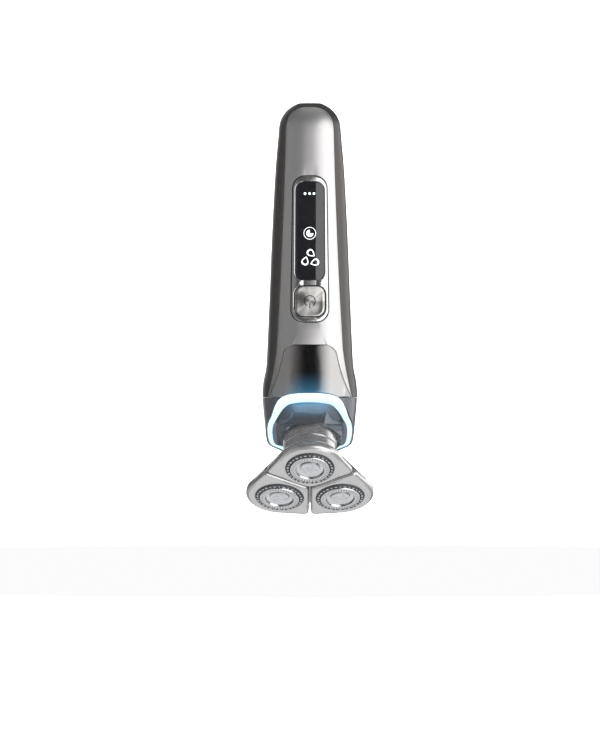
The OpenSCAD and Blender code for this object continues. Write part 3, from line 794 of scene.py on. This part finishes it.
def front_grid(rows, columns, lift, fall):
    """Grid of points on the front: columns(s) gives x, lift and fall(x, s) the offset."""
    return [[front_point(x, s, fall(x, s) - lift) for x in columns(s)] for s in rows]


def seam_rows():
    """Depths of the handle's rows, crowded where the outline turns."""
    rows = [PANEL_TOP + TIP_LENGTH * u * u for u in [0.09, 0.13, 0.17] + linspace(0.22, 1, 9)]
    rows += linspace(18, BEZEL.top, 6)[:-1]
    rows += BEZEL.grown(GAP).rows(22)
    rows += linspace(BEZEL.bottom, COVER_TOP - GAP, 6)[1:]
    rows += [COVER_TOP - GAP + 5 * (1 - math.cos(t)) for t in linspace(0, math.pi / 2, 7)[1:]]
    rows += linspace(117, SEAM_DEPTH - 0.35, 14)
    rows += [SEAM_DEPTH - 0.15, SEAM_DEPTH - 0.04, SEAM_DEPTH]
    return rows


def panel_inner(s):
    """Half width of the opening in the panel's middle: none, the bezel's or the cover's."""
    hole = BEZEL.grown(GAP)
    flat_top = hole.half(hole.top) + 0.01
    flat_bottom = hole.half(hole.bottom) + 0.01
    if s <= hole.top:
        return flat_top * min(1.0, (s - PANEL_TOP) / 12)
    if s <= hole.bottom:
        return hole.half(s)
    if s < COVER_TOP:
        f = (s - hole.bottom) / (COVER_TOP - GAP - hole.bottom)
        return flat_bottom + (cover_half(COVER_TOP) + GAP - flat_bottom) * min(1.0, f)
    return cover_half(s) + GAP


def make_front_panel():
    rows = seam_rows()
    sides, middle = 12, 8

    def columns(s):
        inner, outer = panel_inner(s), panel_half(s)
        right = span(inner, max(outer, inner + 0.02), sides, PANEL_EDGE)
        return ([-x for x in reversed(right)] + linspace(-inner, inner, middle)[1:-1] + right)

    def fall(x, s):
        distance = min(panel_half(s) - abs(x), BEZEL.grown(GAP).distance(x, s),
                       SEAM_DEPTH - s)
        if s > COVER_TOP - 1:
            across = abs(x) - cover_half(max(s, COVER_TOP)) - GAP
            distance = min(distance, max(across, COVER_TOP - GAP - s))
        return edge_drop(distance, PANEL_EDGE)

    side_columns = sides + 6
    hole = BEZEL.grown(GAP)

    def keep(i, j):
        inside = side_columns - 1 <= j < side_columns + middle - 2
        s = (rows[i] + rows[i + 1]) / 2
        return not (inside and (hole.top < s < hole.bottom or s > COVER_TOP - GAP))

    outer = front_grid(rows, columns, 0, fall)
    inner = front_grid(rows, columns, -PANEL_WALL, lambda x, s: 0)
    obj = grid_shell("front_panel_skin", outer, inner, "panel_silver", keep)
    return piece(obj, "handle", "panel_silver", "front_panel")


SOCKET_HALF_WIDTH = 4.55
SOCKET_HALF_HEIGHT = 2.6
SOCKET_WALL = 1.0
GRIP_FIRST = 34.0
GRIP_LAST = 106.0
GRIP_PITCH = 4.5
GRIP_DEEP = 0.32
GRIP_HALF_ANGLE = 0.95


def socket_edge(angle, z, grow=0.0):
    """Point of the charging socket's opening, at an angle round the handle."""
    straight = SOCKET_HALF_WIDTH - SOCKET_HALF_HEIGHT
    r = SOCKET_HALF_HEIGHT + grow
    c, k = math.cos(angle), math.sin(angle)
    x = max(-straight, min(straight, 1.6 * straight * c))
    return Vector((x + r * signed_power(c, 1.0), r * signed_power(k, 1.0), z))


def grip_groove(angle, s):
    """Depth of the grip grooves across the back."""
    if not GRIP_FIRST < s < GRIP_LAST:
        return 0.0
    across = max(0.0, 1 - (abs(angle - math.pi / 2) / GRIP_HALF_ANGLE) ** 4)
    along = min(1.0, (s - GRIP_FIRST) / 2, (GRIP_LAST - s) / 2)
    wave = max(0.0, math.cos(2 * math.pi * (s - GRIP_FIRST) / GRIP_PITCH)) ** 2
    return GRIP_DEEP * across * along * wave


def make_rear_housing():
    rows = [0.0, 0.35, 0.9, 1.5, PANEL_TOP] + seam_rows() + linspace(GRIP_FIRST, GRIP_LAST, 113)
    rows = sorted(set(round(s, 3) for s in rows))
    back, middle = 64, 12

    def boundary(s):
        start = panel_half(max(s, PANEL_TOP + 0.1)) + GAP
        return front_angle(min(start, 0.93 * half_width(s)), s)

    def angles(s):
        a = boundary(s)
        e = PANEL_EDGE / half_width(s)
        right = [a, a + 0.12 * e, a + 0.45 * e]
        span_round = linspace(a + e, math.pi - a - e, back)
        left = [math.pi - t for t in reversed(right)]
        front = linspace(math.pi - a, 2 * math.pi + a, middle)[1:-1]
        return right + span_round + left, front

    def skin_row(s, inset, rolled_edges):
        around, front = angles(s)
        points = []
        for k, t in enumerate(around):
            reach = min(k, len(around) - 1 - k)
            drop = 0.0
            if rolled_edges:
                d = min((0, 0.12 * PANEL_EDGE, 0.45 * PANEL_EDGE, PANEL_EDGE)[min(reach, 3)],
                        SEAM_DEPTH - s)
                if s < PANEL_TOP + 0.1:
                    d = SEAM_DEPTH - s
                drop = edge_drop(d, PANEL_EDGE) + grip_groove(t, s)
            points.append(skin(t, s, inset + drop))
        points += [skin(t, s, inset) for t in front]
        return points, around + front

    outer, inner = [], []
    seat_outer, seat_angles = skin_row(0.0, 0, True)
    # Rows of the socket's wall and the flat round it: share of the way to the edge, height.
    for f, z in ((-1, -8.5), (-0.5, -4.0), (0, -0.3), (0.02, -0.08), (0.06, 0.0), (0.5, 0.0)):
        outer.append([socket_edge(t, z).lerp(Vector((edge.x, edge.y, z)), max(0.0, f))
                      for t, edge in zip(seat_angles, seat_outer)])
        back_z = min(z, -SHELL_WALL) if f < 0 else -SHELL_WALL
        inner.append([socket_edge(t, back_z, SOCKET_WALL) for t in seat_angles])
    for s in rows:
        outer.append(skin_row(s, 0, True)[0])
        inner.append(skin_row(max(s, SHELL_WALL), SHELL_WALL, False)[0])
    socket_rows = 6
    front_from = back + 6 - 1

    def keep(i, j):
        s = rows[i - socket_rows] if i >= socket_rows else 0.0
        return j < front_from or s < PANEL_TOP - 0.01

    obj = grid_shell("rear_housing_skin", outer, inner, "shell_dark", keep, wrap=True)
    return piece(obj, "handle", "shell_dark", "rear_housing")


def make_front_cover():
    edge = 0.35

    def bottom(u):
        s = SEAM_DEPTH
        for _ in range(20):
            x = u * cover_half(s)
            height = PLANE_CUT - cheek(front_angle(x, s))
            s = 0.5 * s + 0.5 * min(SEAM_DEPTH, slant_depth(front_point(x, s).y, height))
        return s

    e = edge / 16
    us = sorted(linspace(-1, 1, 34)[1:-1] + [-1, -1 + 0.12 * e, -1 + 0.45 * e, -1 + e,
                            1 - e, 1 - 0.45 * e, 1 - 0.12 * e, 1])
    fractions = ([0, 0.0018, 0.0065, 0.0146] + [(1 - math.cos(t)) * 0.2 for t in
                 linspace(0.45, math.pi / 2, 6)] + linspace(0.24, 0.98, 16)
                 + [0.985, 0.9935, 0.9982, 1.0])

    def grid(inset, rounded):
        rows = []
        for v in fractions:
            row = []
            for u in us:
                end = bottom(u)
                s = COVER_TOP + (end - COVER_TOP) * v
                x = u * cover_half(s)
                d = min(cover_half(s) - abs(x), s - COVER_TOP, (end - s) * 0.8)
                row.append(front_point(x, s, inset + (edge_drop(d, edge) if rounded else 0)))
            rows.append(row)
        return rows

    obj = grid_shell("front_cover_skin", grid(0, True), grid(SHELL_WALL, False), "cover_black")
    return piece(obj, "handle", "gloss_black", "front_cover")


def collar_start():
    """Angle beside the front where the mouth's plane crosses the seam."""
    a, b = -math.pi / 2, 0.5
    for _ in range(30):
        m = (a + b) / 2
        if -slant_point(m, PLANE_CUT).z > SEAM_DEPTH + 0.15:
            b = m
        else:
            a = m
    return b


def lip_share(angle, start):
    """How far the collar runs down outside the ring: 0 at the front, 1 at the sides."""
    return ease((from_front(angle) - math.degrees(start) - 90) / 30)


LIP_WALL = 0.85
LIP_DROP = 2.0


def make_shoulder_collar():
    start = collar_start()
    angles = linspace(start, math.pi - start, 96)
    shell = [0, 0.01, 0.03] + linspace(0.06, 1.0, 14)
    lip = [0.0, 0.4, 0.8, 0.93, 1.0]

    def grid(inset, lip_inset, rounded):
        rows = []
        for part, v in [(0, v) for v in shell] + [(1, v) for v in lip]:
            row = []
            for t in angles:
                top = SEAM_DEPTH + GAP
                step = max(top + 0.02, -slant_point(t, PLANE_CUT).z)
                drop = LIP_DROP * lip_share(t, start)
                end = max(step + 0.02, -slant_point(t, PLANE_CUT - drop).z)
                s = top + (step - top) * v if part == 0 else step + (end - step) * v
                roll = edge_drop(min(s - top, end - s), 0.25) if rounded else 0
                row.append(skin(t, s, (inset if part == 0 else lip_inset) + roll))
            rows.append(row)
        return rows

    obj = grid_shell("shoulder_collar_skin", grid(0, 0, True),
                     grid(SHELL_WALL, LIP_WALL, False), "collar_grey")
    return piece(obj, "handle", "collar_grey", "shoulder_collar")


def slant_loop(height, inset, count, lip=0.0):
    """Loop parallel to the mouth's border. lip is how much further in its sides lie."""
    start = collar_start()
    return [slant_point(a, height, inset + lip * lip_share(a, start))
            for a in full_turn(count)]


def make_light_ring():
    """Ring round the mouth, inside the collar's lip except at the front."""
    # Height up the neck, inset from the skin, and share of the lip's wall added to it.
    section = [(36.55, 0.05, 1), (35.5, 0.04, 1), (35.05, 0.12, 1), (34.7, 0.4, 0.8),
               (34.52, 0.85, 0.6), (34.5, 1.2, 0.5), (34.5, 2.9, 0), (34.62, 3.1, 0),
               (36.55, 3.1, 0)]
    loops = [slant_loop(height, inset, 144, share * (LIP_WALL + 0.05))
             for height, inset, share in section]
    obj = hoop("light_ring_lens", loops, "ring_light", sharp=60)
    return piece(obj, "handle", "ring_light", "light_ring")


def make_inner_collar():
    """Funnel of flat facets between the light ring and the neck."""
    count = 120
    top_angles = [-66, -28, 15, 58, 122, 165, 208, 246]
    low_angles = [-64, -12, 50, 130, 192, 244]
    foot_r, foot_height, neck_height = 14.9, 25.6, 26.4
    rim_inset, corner_inset = 3.15, 4.3
    top_corners = [slant_point(math.radians(a), 33.95, corner_inset) for a in top_angles]
    low_corners = [polar(from_neck, foot_r, math.radians(a), foot_height) for a in low_angles]
    back_corners = [polar(from_neck, NECK_R - 0.2, math.radians(a), neck_height)
                    for a in low_angles]
    rim_high = slant_loop(36.2, rim_inset, count)
    rim_low = slant_loop(34.35, rim_inset, count)
    # Facet that each column of the rim belongs to: the last corner at or before it.
    sides = len(top_corners)
    owners = []
    for i in range(count):
        a = (360 * i / count + 66) % 360 - 66
        owners.append(max(q for q in range(sides) if top_angles[q] <= a))
    runs = []
    for k in range(sides):
        first = next(i for i in range(count) if owners[i] == k and owners[i - 1] != k)
        runs.append([(first + q) % count for q in range(owners.count(k) + 1)])
    chord = [None] * count
    for k, run in enumerate(runs):
        for step, i in enumerate(run[:-1]):
            chord[i] = top_corners[k].lerp(top_corners[(k + 1) % sides], step / (len(run) - 1))
    points = rim_high + rim_low + chord + low_corners + back_corners
    chord_at, foot = 2 * count, 3 * count
    m = len(low_corners)
    faces = band_faces(3, count)
    # Foot corners below each side of the funnel: one under a triangle, two under a flat.
    below = [(0,), (0, 1), (1, 2), (2, 3), (3, 4), (4, 5), (5,), (5, 0)]
    for run, feet in zip(runs, below):
        faces.append(tuple([chord_at + i for i in run] + [foot + b for b in reversed(feet)]))
        faces.append(tuple([foot + m + b for b in feet] + list(reversed(run))))
    faces += band_faces(2, m, start=foot)
    obj = new_object("inner_collar_funnel", points, faces, "collar_inner", sharp=8)
    return piece(obj, "handle", "collar_inner", "inner_collar")


# ---- Display cluster ----------------------------------------------------------------------

BUTTON_HOLE = BUTTON.grown(0.34)
BEZEL_LIFT = 0.35
WINDOW_LIFT = 0.15
BUTTON_LIFT = 0.2
BUTTON_DISH = 0.35
ICON_THICKNESS = 0.12
# Depths of the row of dots, the clock, and the short line beside the display's upper part.
DOTS_DEPTH = 41.9
CLOCK_DEPTH = 60.1
DIVIDER_DEPTH = 46.75
# The three drops: place, depth and turn of each, and half length of their rims and holes.
DROPS = [(0.6, 69.3, 320), (-2.1, 72.7, 75), (2.2, 73.5, 200)]
DROP_RIM = 2.1
DROP_HOLE = 1.4
# The power symbol: its arc, and half width, start and end of its stem below the middle.
POWER_R = 2.5
POWER_STROKE = 0.42
POWER_STEM = (0.5, 3.3)


def bezel_inner(s):
    """Half width of the bezel's openings, or where its middle columns run beside them."""
    flat = WINDOW.half(WINDOW.top) + 0.05
    if WINDOW.top < s < WINDOW.bottom:
        return WINDOW.half(s) + 0.05
    if BUTTON_HOLE.top < s < BUTTON_HOLE.bottom:
        return BUTTON_HOLE.half(s)
    return min(flat, 0.6 * BEZEL.half(s))


def make_bezel():
    rows = sorted(set(round(s, 3) for s in
                      BEZEL.rows(6) + WINDOW.rows(18) + BUTTON_HOLE.rows(4)
                      + [BEZEL.top + d for d in (0.05, 0.2, 0.45)]
                      + [BEZEL.bottom - d for d in (0.05, 0.2, 0.45)]))

    def columns(s):
        right = span(bezel_inner(s), BEZEL.half(s), 4, 0.4)
        inner = bezel_inner(s)
        return [-x for x in reversed(right)] + linspace(-inner, inner, 8)[1:-1] + right

    def fall(x, s):
        d = min(-BEZEL.distance(x, s), abs(WINDOW.distance(x, s)),
                abs(BUTTON_HOLE.distance(x, s)))
        return edge_drop(d, 0.42)

    def keep(i, j):
        s = (rows[i] + rows[i + 1]) / 2
        opening = WINDOW.top < s < WINDOW.bottom or BUTTON_HOLE.top < s < BUTTON_HOLE.bottom
        return not (9 <= j < 16 and opening)

    outer = front_grid(rows, columns, BEZEL_LIFT, fall)
    inner = front_grid(rows, columns, -PANEL_WALL, lambda x, s: 0)
    obj = grid_shell("display_bezel_frame", outer, inner, "bezel_chrome", keep)
    piece(obj, "handle", "bezel_chrome", "display_bezel")

    # Thin black strip round the bezel: painted shade standing for the shadow gap between bezel
    # and panel.
    border = BEZEL.loop()
    around = BEZEL.grown(0.42).loop()
    top = [[front_point(x, s, -0.03) for x, s in loop] for loop in (border, around)]
    under = [[front_point(x, s, 0.4) for x, s in loop] for loop in (border, around)]
    painted_gap_strip = grid_shell("bezel_shadow_gap_strip", top, under, "shadow_black", wrap=True)
    piece(painted_gap_strip, "handle", "seal_black")


def plate(name, outline, lift, edge, thickness, material, dish=0.0, rows=22, columns=16):
    depths = sorted(set(round(s, 3) for s in outline.rows(rows)
                        + [outline.top + d for d in (0.03, 0.12, 0.25)]
                        + [outline.bottom - d for d in (0.03, 0.12, 0.25)]))

    def xs(s):
        half = outline.half(s)
        return span(-half, half, columns, edge)

    def fall(x, s):
        distance = -outline.distance(x, s)
        hollow = dish * min(1.0, max(0.0, distance - edge) / 3.0) if dish else 0.0
        return edge_drop(distance, edge) + hollow * (2 - hollow / dish if dish else 0)

    outer = front_grid(depths, xs, lift, fall)
    inner = front_grid(depths, xs, lift - thickness, lambda x, s: 0)
    return grid_shell(name, outer, inner, material)


def circle(x, s, r, n, start=0.0, end=360.0):
    """Points of a circle on the front, or of an arc between two angles in degrees."""
    closed = end - start >= 360
    steps = linspace(start, end, n + 1 if closed else n)
    if closed:
        steps = steps[:-1]
    return [(x + r * math.cos(math.radians(t)), s - r * math.sin(math.radians(t)))
            for t in steps]


def arc_band(x, s, r, stroke, start, end, n=28):
    """Outline of an arc drawn with a stroke."""
    return (circle(x, s, r + stroke / 2, n, start, end)
            + circle(x, s, r - stroke / 2, n, start, end)[::-1])


def drop_outline(x, s, r, turn, n=36):
    """Water drop, 2 r long: a round belly and one point, turned about its middle."""
    a = math.radians(turn)
    points = []
    for t in full_turn(n):
        along, across = r * math.cos(t), r * math.sin(t) * math.sin(t / 2)
        points.append((x + along * math.cos(a) - across * math.sin(a),
                       s - along * math.sin(a) - across * math.cos(a)))
    return points


def inlay(name, shapes, lift, material):
    """Thin marks on the front. A shape is an outline, or a pair of outline and hole."""
    points, faces = [], []
    for shape in shapes:
        holed = isinstance(shape[0][0], tuple)
        rings = [(shape, 0), (shape, ICON_THICKNESS)]
        if holed:
            rim, hole = shape
            rings = [(rim, 0), (hole, 0), (hole, ICON_THICKNESS), (rim, ICON_THICKNESS)]
        start, n = len(points), len(rings[0][0])
        points += [front_point(x, s, down - lift) for loop, down in rings for x, s in loop]
        part = band_faces(len(rings), n, holed, start)
        if not holed:
            part.append(tuple(range(start, start + n))[::-1])
            part.append(tuple(range(start + n, start + 2 * n)))
        faces += outward(points, part)
    return new_object(name, points, faces, material)


def make_display():
    window = plate("display_window_lens", WINDOW, WINDOW_LIFT, 0.22, 1.4, "gloss_black",
                   rows=24)
    piece(window, "handle", "gloss_black", "display_window")
    dots = [circle(x, DOTS_DEPTH, 0.58, 20) for x in (-2.2, -0.1, 1.9)]
    clock = [(circle(0, CLOCK_DEPTH, 2.85, 48), circle(0, CLOCK_DEPTH, 2.6, 48)),
             circle(0, CLOCK_DEPTH, 1.65, 30, 90, 360) + [(0, CLOCK_DEPTH)]]
    drops = [(drop_outline(x, s, DROP_RIM, turn), drop_outline(x, s, DROP_HOLE, turn))
             for x, s, turn in DROPS]
    icons = inlay("display_icons", dots + clock + drops, WINDOW_LIFT + 0.02, "icon_white")
    piece(icons, "handle", "ring_light")
    low = DIVIDER_DEPTH + 0.45
    line = [(2.9, DIVIDER_DEPTH), (6.4, DIVIDER_DEPTH), (6.4, low), (2.9, low)]
    divider = inlay("display_divider", [line], WINDOW_LIFT + 0.01, "shadow_black")
    piece(divider, "handle", "gloss_black")


def make_button():
    button = plate("power_button_cap", BUTTON, BUTTON_LIFT, 0.5, 1.8,
                   "button_steel", BUTTON_DISH, rows=12)
    piece(button, "button", "button_steel", "power_button")
    level = BUTTON_LIFT - BUTTON_DISH + 0.02
    half = POWER_STROKE / 2
    high, low = (BUTTON_DEPTH + d for d in POWER_STEM)
    symbol = [arc_band(0, BUTTON_DEPTH, POWER_R, POWER_STROKE, -60, 240),
              [(-half, high), (half, high), (half, low), (-half, low)]]
    mark = inlay("power_symbol", symbol, level, "shadow_black")
    piece(mark, "button", "seal_black")


# ---- Neck and shaving unit ----------------------------------------------------------------


def triangle_loop(c, q, height, count=120):
    """Rounded triangle of the shaving unit: arcs of radius q on a circle of radius c."""
    loop = []
    for i in range(count):
        a = 360 * (i + 0.5) / count - 30
        corner = math.radians(120 * math.floor((a + 30) / 120) + 30)
        t = math.radians(a)
        loop.append(from_neck(c * math.cos(corner) + q * math.cos(t),
                              c * math.sin(corner) + q * math.sin(t), height))
    return loop


def make_neck():
    """Neck and click-on collar, each from a profile of (radius, height up the neck)."""
    tube = [(12.0, 20.8), (12.3, 21.1), (12.3, 26.5), (12.12, 26.7), (12.12, 27.0),
            (12.3, 27.2), (12.3, 31.0), (10.5, 31.0), (10.5, 26.6), (3.0, 26.6), (3.0, 25.4),
            (10.5, 25.4), (10.5, 20.8)]
    obj = turned("neck_tube_sleeve", tube, from_neck, "neck_silver", 144)
    piece(obj, "handle", "neck_silver", "neck_tube")
    collar = [(11.3, 16.8), (11.95, 16.8), (12.3, 17.15), (12.3, 20.25), (12.05, 20.6),
              (10.4, 20.6), (10.4, 23.7), (10.1, 24.0), (9.2, 24.0), (9.2, 20.5), (4.6, 20.5),
              (4.6, 19.5), (11.3, 19.5)]
    obj = turned("coupling_collar_sleeve", collar, from_neck, "neck_silver", 144)
    piece(obj, "coupling", "neck_silver", "coupling_collar")


def make_unit_base():
    """Bowl that blends from the heads' rounded triangle into the round collar."""
    # Height, circle of the corners' centres, and radius of the corners.
    rows = [(4.5, 16.5, 13.4), (7.3, 14.75, 12.0), (8.6, 13.8, 11.2), (11.8, 10.5, 9.5),
            (13.9, 6.5, 9.5), (15.2, 0.0, 12.3), (15.6, -3.0, 14.0)]

    def bowl(height, inset):
        return triangle_loop(smooth(rows, height, 1), smooth(rows, height, 2) - inset,
                             height - 0.8 * inset)

    heights = linspace(7.5, 14.8, 18)
    loops = [triangle_loop(14.75, 11.7, 7.3)] + [bowl(h, 0) for h in heights]
    loops += [triangle_loop(0, r, h) for r, h in
              ((12.3, 14.95), (12.0, 15.15), (10.85, 15.15), (10.95, 17.0), (10.85, 17.8),
               (9.9, 17.8), (9.9, 15.0), (3.6, 15.0), (3.6, 14.2), (10.8, 14.2))]
    loops += [bowl(h, 1.2) for h in reversed(heights[:-1])]
    loops.append(triangle_loop(14.75, 10.6, 7.3))
    obj = hoop("unit_base_bowl", loops, "unit_silver")
    piece(obj, "unit", "unit_silver", "unit_base")


def bar(place, low_corner, high_corner, edge=0.2):
    """Points and faces of a block with bevelled edges."""
    (x0, y0, z0), (x1, y1, z1) = low_corner, high_corner
    e = min(edge, 0.3 * min(x1 - x0, y1 - y0, z1 - z0))
    loops = []
    for z, inset in ((z0, e), (z0 + e, 0), (z1 - e, 0), (z1, e)):
        a, b, c, d = x0 + inset, x1 - inset, y0 + inset, y1 - inset
        corner = e if inset == 0 else 0.4 * e
        loops.append([place(x, y, z) for x, y in (
            (a + corner, c), (b - corner, c), (b, c + corner), (b, d - corner),
            (b - corner, d), (a + corner, d), (a, d - corner), (a, c + corner))])
    m = len(loops[0])
    points = [p for loop in loops for p in loop]
    caps = [tuple(reversed(range(m))), tuple(range(3 * m, 4 * m))]
    return points, caps + band_faces(4, m)


def add_parts(obj, parts):
    """Joins loose closed parts into an object's mesh."""
    mesh = obj.data
    points = [v.co.copy() for v in mesh.vertices]
    faces = [tuple(p.vertices) for p in mesh.polygons]
    for more_points, more_faces in parts:
        more_faces = outward(more_points, more_faces)
        start = len(points)
        points += [p * MM for p in more_points]
        faces += [tuple(start + v for v in face) for face in more_faces]
    fresh = bpy.data.meshes.new(obj.name)
    fresh.from_pydata(points, [], faces)
    fresh.materials.append(mesh.materials[0])
    fresh.shade_smooth()
    fresh.set_sharp_from_angle(angle=math.radians(35))
    obj.data = fresh


def turned_place(angle):
    """Maps a point of the frame that faces out of the unit's middle at an angle."""
    c, k = math.cos(angle), math.sin(angle)
    return lambda x, y, z: from_neck(x * c - y * k, x * k + y * c, z)


def make_holder():
    """Frame round the heads, with its three arms and the hinge blocks of the heads."""
    # Height, circle of the corners' centres, and radius of the corners.
    section = [(5.4, 15.8, 13.0), (5.55, 15.8, 13.3), (5.8, 15.65, 13.3), (6.9, 15.0, 12.35),
               (7.12, 14.85, 12.1), (7.2, 14.8, 11.8), (7.2, 14.8, 10.6), (5.4, 15.8, 11.9)]
    obj = hoop("holder_frame_rim", [triangle_loop(c, q, h) for h, c, q in section],
               "unit_silver")
    parts = []
    for degrees in (90, 210, 330):
        place = turned_place(math.radians(degrees))
        parts.append(bar(place, (0, -1.2, 3.6), (19.5, 1.2, 5.2)))
        parts.append(bar(place, (16.8, -1.2, 4.8), (19.5, 1.2, 5.7)))
    for angle in HEAD_ANGLES:
        parts.append(bar(turned_place(angle), (0, -0.8, 3.2), (4.6, 0.8, 4.6)))
    add_parts(obj, parts)
    piece(obj, "holder", "unit_silver", "holder_frame")


def petal_reach(angle):
    """Distance from a head's centre to its petal's edge, with softened corners."""
    power = 18
    outside = 15.4
    gap_side = (HEAD_CIRCLE - PETAL_GAP / math.sqrt(3)) * math.sin(math.radians(60))
    total = 0.0
    for side in (1, -1):
        a = side * angle - math.radians(60)
        total += (max(0.0, math.sin(a)) / gap_side) ** power
        if math.sin(a) > 0:
            total += (max(0.0, math.cos(a)) / outside) ** power
    return min(outside if total == 0 else total ** (-1 / power), 22.0)


def make_head(i):
    """Head i: its petal, track ring, ring of marks, guard and cap."""
    def place(x, y, z):
        return from_head(i, x, y, z)

    number = str(i + 1)
    body = "head_" + number
    count = 180
    angles = [a - math.pi for a in full_turn(count)]
    reach = [petal_reach(a) for a in angles]
    hole = TRACK_R + 0.12
    # Steps from the hole out over the face and round the edge: share, offset, height.
    section = [(0, 0.0, 1.4), (0, 0.0, -0.35), (0, 0.12, -0.55), (0.3, 0, -0.6), (0.7, 0, -0.5),
               (1, -1.2, -0.38), (1, -0.55, -0.12), (1, -0.15, 0.35), (1, 0, 0.9), (1, 0, 2.5),
               (1, -0.25, 2.85), (1, -0.7, 2.9), (0, 0.7, 2.9), (0, 0.7, 1.4)]
    loops = []
    for share, offset, z in section:
        loop = []
        for a, r in zip(angles, reach):
            loop.append(polar(place, max(hole, hole + (r - hole) * share + offset), a, z))
        loops.append(loop)
    carrier = hoop("head_petal_" + number, loops, "petal_silver", sharp=50)
    tabs = [bar(turned_place(HEAD_ANGLES[i]), (3.0, y - 0.55, 1.6), (5.0, y + 0.55, 4.95))
            for y in (-1.65, 1.65)]
    add_parts(carrier, tabs)
    piece(carrier, body, "petal_silver", "head_carrier_" + number)

    track = [(9.25, 2.4), (9.25, -0.95), (9.45, -1.2), (10.55, -1.2), (10.85, -1.1),
             (11.0, -0.8), (11.0, 1.5), (11.55, 1.5), (11.55, 2.4)]
    ring = turned("shaving_track_" + number, track, place, "track_dark", 120, 50)
    piece(ring, body, "track_dark", "track_ring_" + number)

    marks = []
    for k, middle in enumerate(full_turn(30)):
        wide = math.radians(3.4 if k % 2 else 1.8)
        corners = [(9.7, -wide), (10.45, -wide), (10.45, wide), (9.7, wide)]
        points = [polar(place, r, middle + d, z) for z in (-1.26, -1.1) for r, d in corners]
        marks.append((points, [(3, 2, 1, 0), (4, 5, 6, 7)] + band_faces(2, 4)))
    first_points, first_faces = marks[0]
    dashes = new_object("track_marks_" + number, first_points, first_faces, "mark_steel")
    add_parts(dashes, marks[1:])
    piece(dashes, body, "guard_steel")

    make_guard(place, body, number)
    make_cap(place, body, number)


def make_guard(place, body, number):
    """Slotted guard, from the (radius, height) of its outer and inner walls."""
    outer = [(4.45, -0.5), (4.6, -0.6), (5.9, -0.6), (6.15, -0.75), (6.4, -1.55), (6.65, -1.78),
             (7.1, -1.8), (7.9, -1.8), (8.65, -1.8), (8.95, -1.68), (9.15, -1.35), (9.2, 2.2)]
    inner = [(4.45, -0.2), (4.6, -0.2), (5.9, -0.2), (6.35, -0.3), (6.75, -1.15), (6.85, -1.38),
             (7.1, -1.4), (7.9, -1.4), (8.65, -1.4), (8.8, -1.35), (8.95, -1.2), (9.0, 2.2)]
    slot_half = 1.15
    pitch = 360 / GUARD_SLOTS
    columns = []
    for k in range(GUARD_SLOTS):
        for part in (-slot_half, slot_half, pitch / 2 - 1, pitch / 2 + 1):
            columns.append(math.radians(k * pitch + part))

    def grid(profile):
        return [[polar(place, r, a, z) for a in columns] for r, z in profile]

    def keep(row, column):
        return not (column % 4 == 0 and 6 <= row < 8)

    obj = grid_shell("shaving_guard_" + number, grid(outer), grid(inner),
                     "guard_steel_" + number, keep, wrap=True)
    piece(obj, body, "guard_steel", "guard_" + number)


def make_cap(place, body, number):
    """Centre cap with a shallow swirl of three arms."""

    def height(r, a):
        arm = 0.5 + 0.5 * math.cos(3 * a + 2.1 * r)
        reach = max(0.0, min(1.0, (r - 0.4) / 0.7, (3.75 - r) / 0.5))
        return -1.2 + 0.34 * reach * arm**1.5 + edge_drop(4.38 - r, 0.3) * 0.9

    angles = full_turn(120)
    radii = [0.25] + linspace(0.5, 3.9, 16) + [4.15, 4.3, 4.38]
    loops = [[polar(place, r, a, height(r, a)) for a in angles] for r in radii]
    loops.append([polar(place, 4.4, a, -0.2) for a in angles])
    obj = capped("guard_cap_disc_" + number, loops, "cap_steel")
    piece(obj, body, "cap_steel", "guard_cap_" + number)


def head_spin_materials():
    """Guards get their lapping rings centred on each head."""
    for i in range(3):
        axis = (from_head(i, 0, 0, 1) - from_head(i, 0, 0, 0)).normalized()
        turn = axis.rotation_difference(Vector((0, 0, 1))).to_euler()
        centre = tuple(from_head(i, 0, 0, 0) * MM)
        name = "guard_steel_" + str(i + 1)
        MATERIALS[name] = spun_metal(name, (0.70, 0.70, 0.70), centre, tuple(turn), 0.2, 5200)


def main():
    bpy.context.scene.view_settings.view_transform = "Standard"
    make_materials()
    dress_cad_nodes()
    make_camera()
    make_lights()
    make_world()
    make_floor()
    head_spin_materials()
    make_rear_housing()
    make_front_panel()
    make_front_cover()
    make_shoulder_collar()
    make_light_ring()
    make_inner_collar()
    make_bezel()
    make_display()
    make_button()
    make_neck()
    make_unit_base()
    make_holder()
    for i in range(3):
        make_head(i)


main()
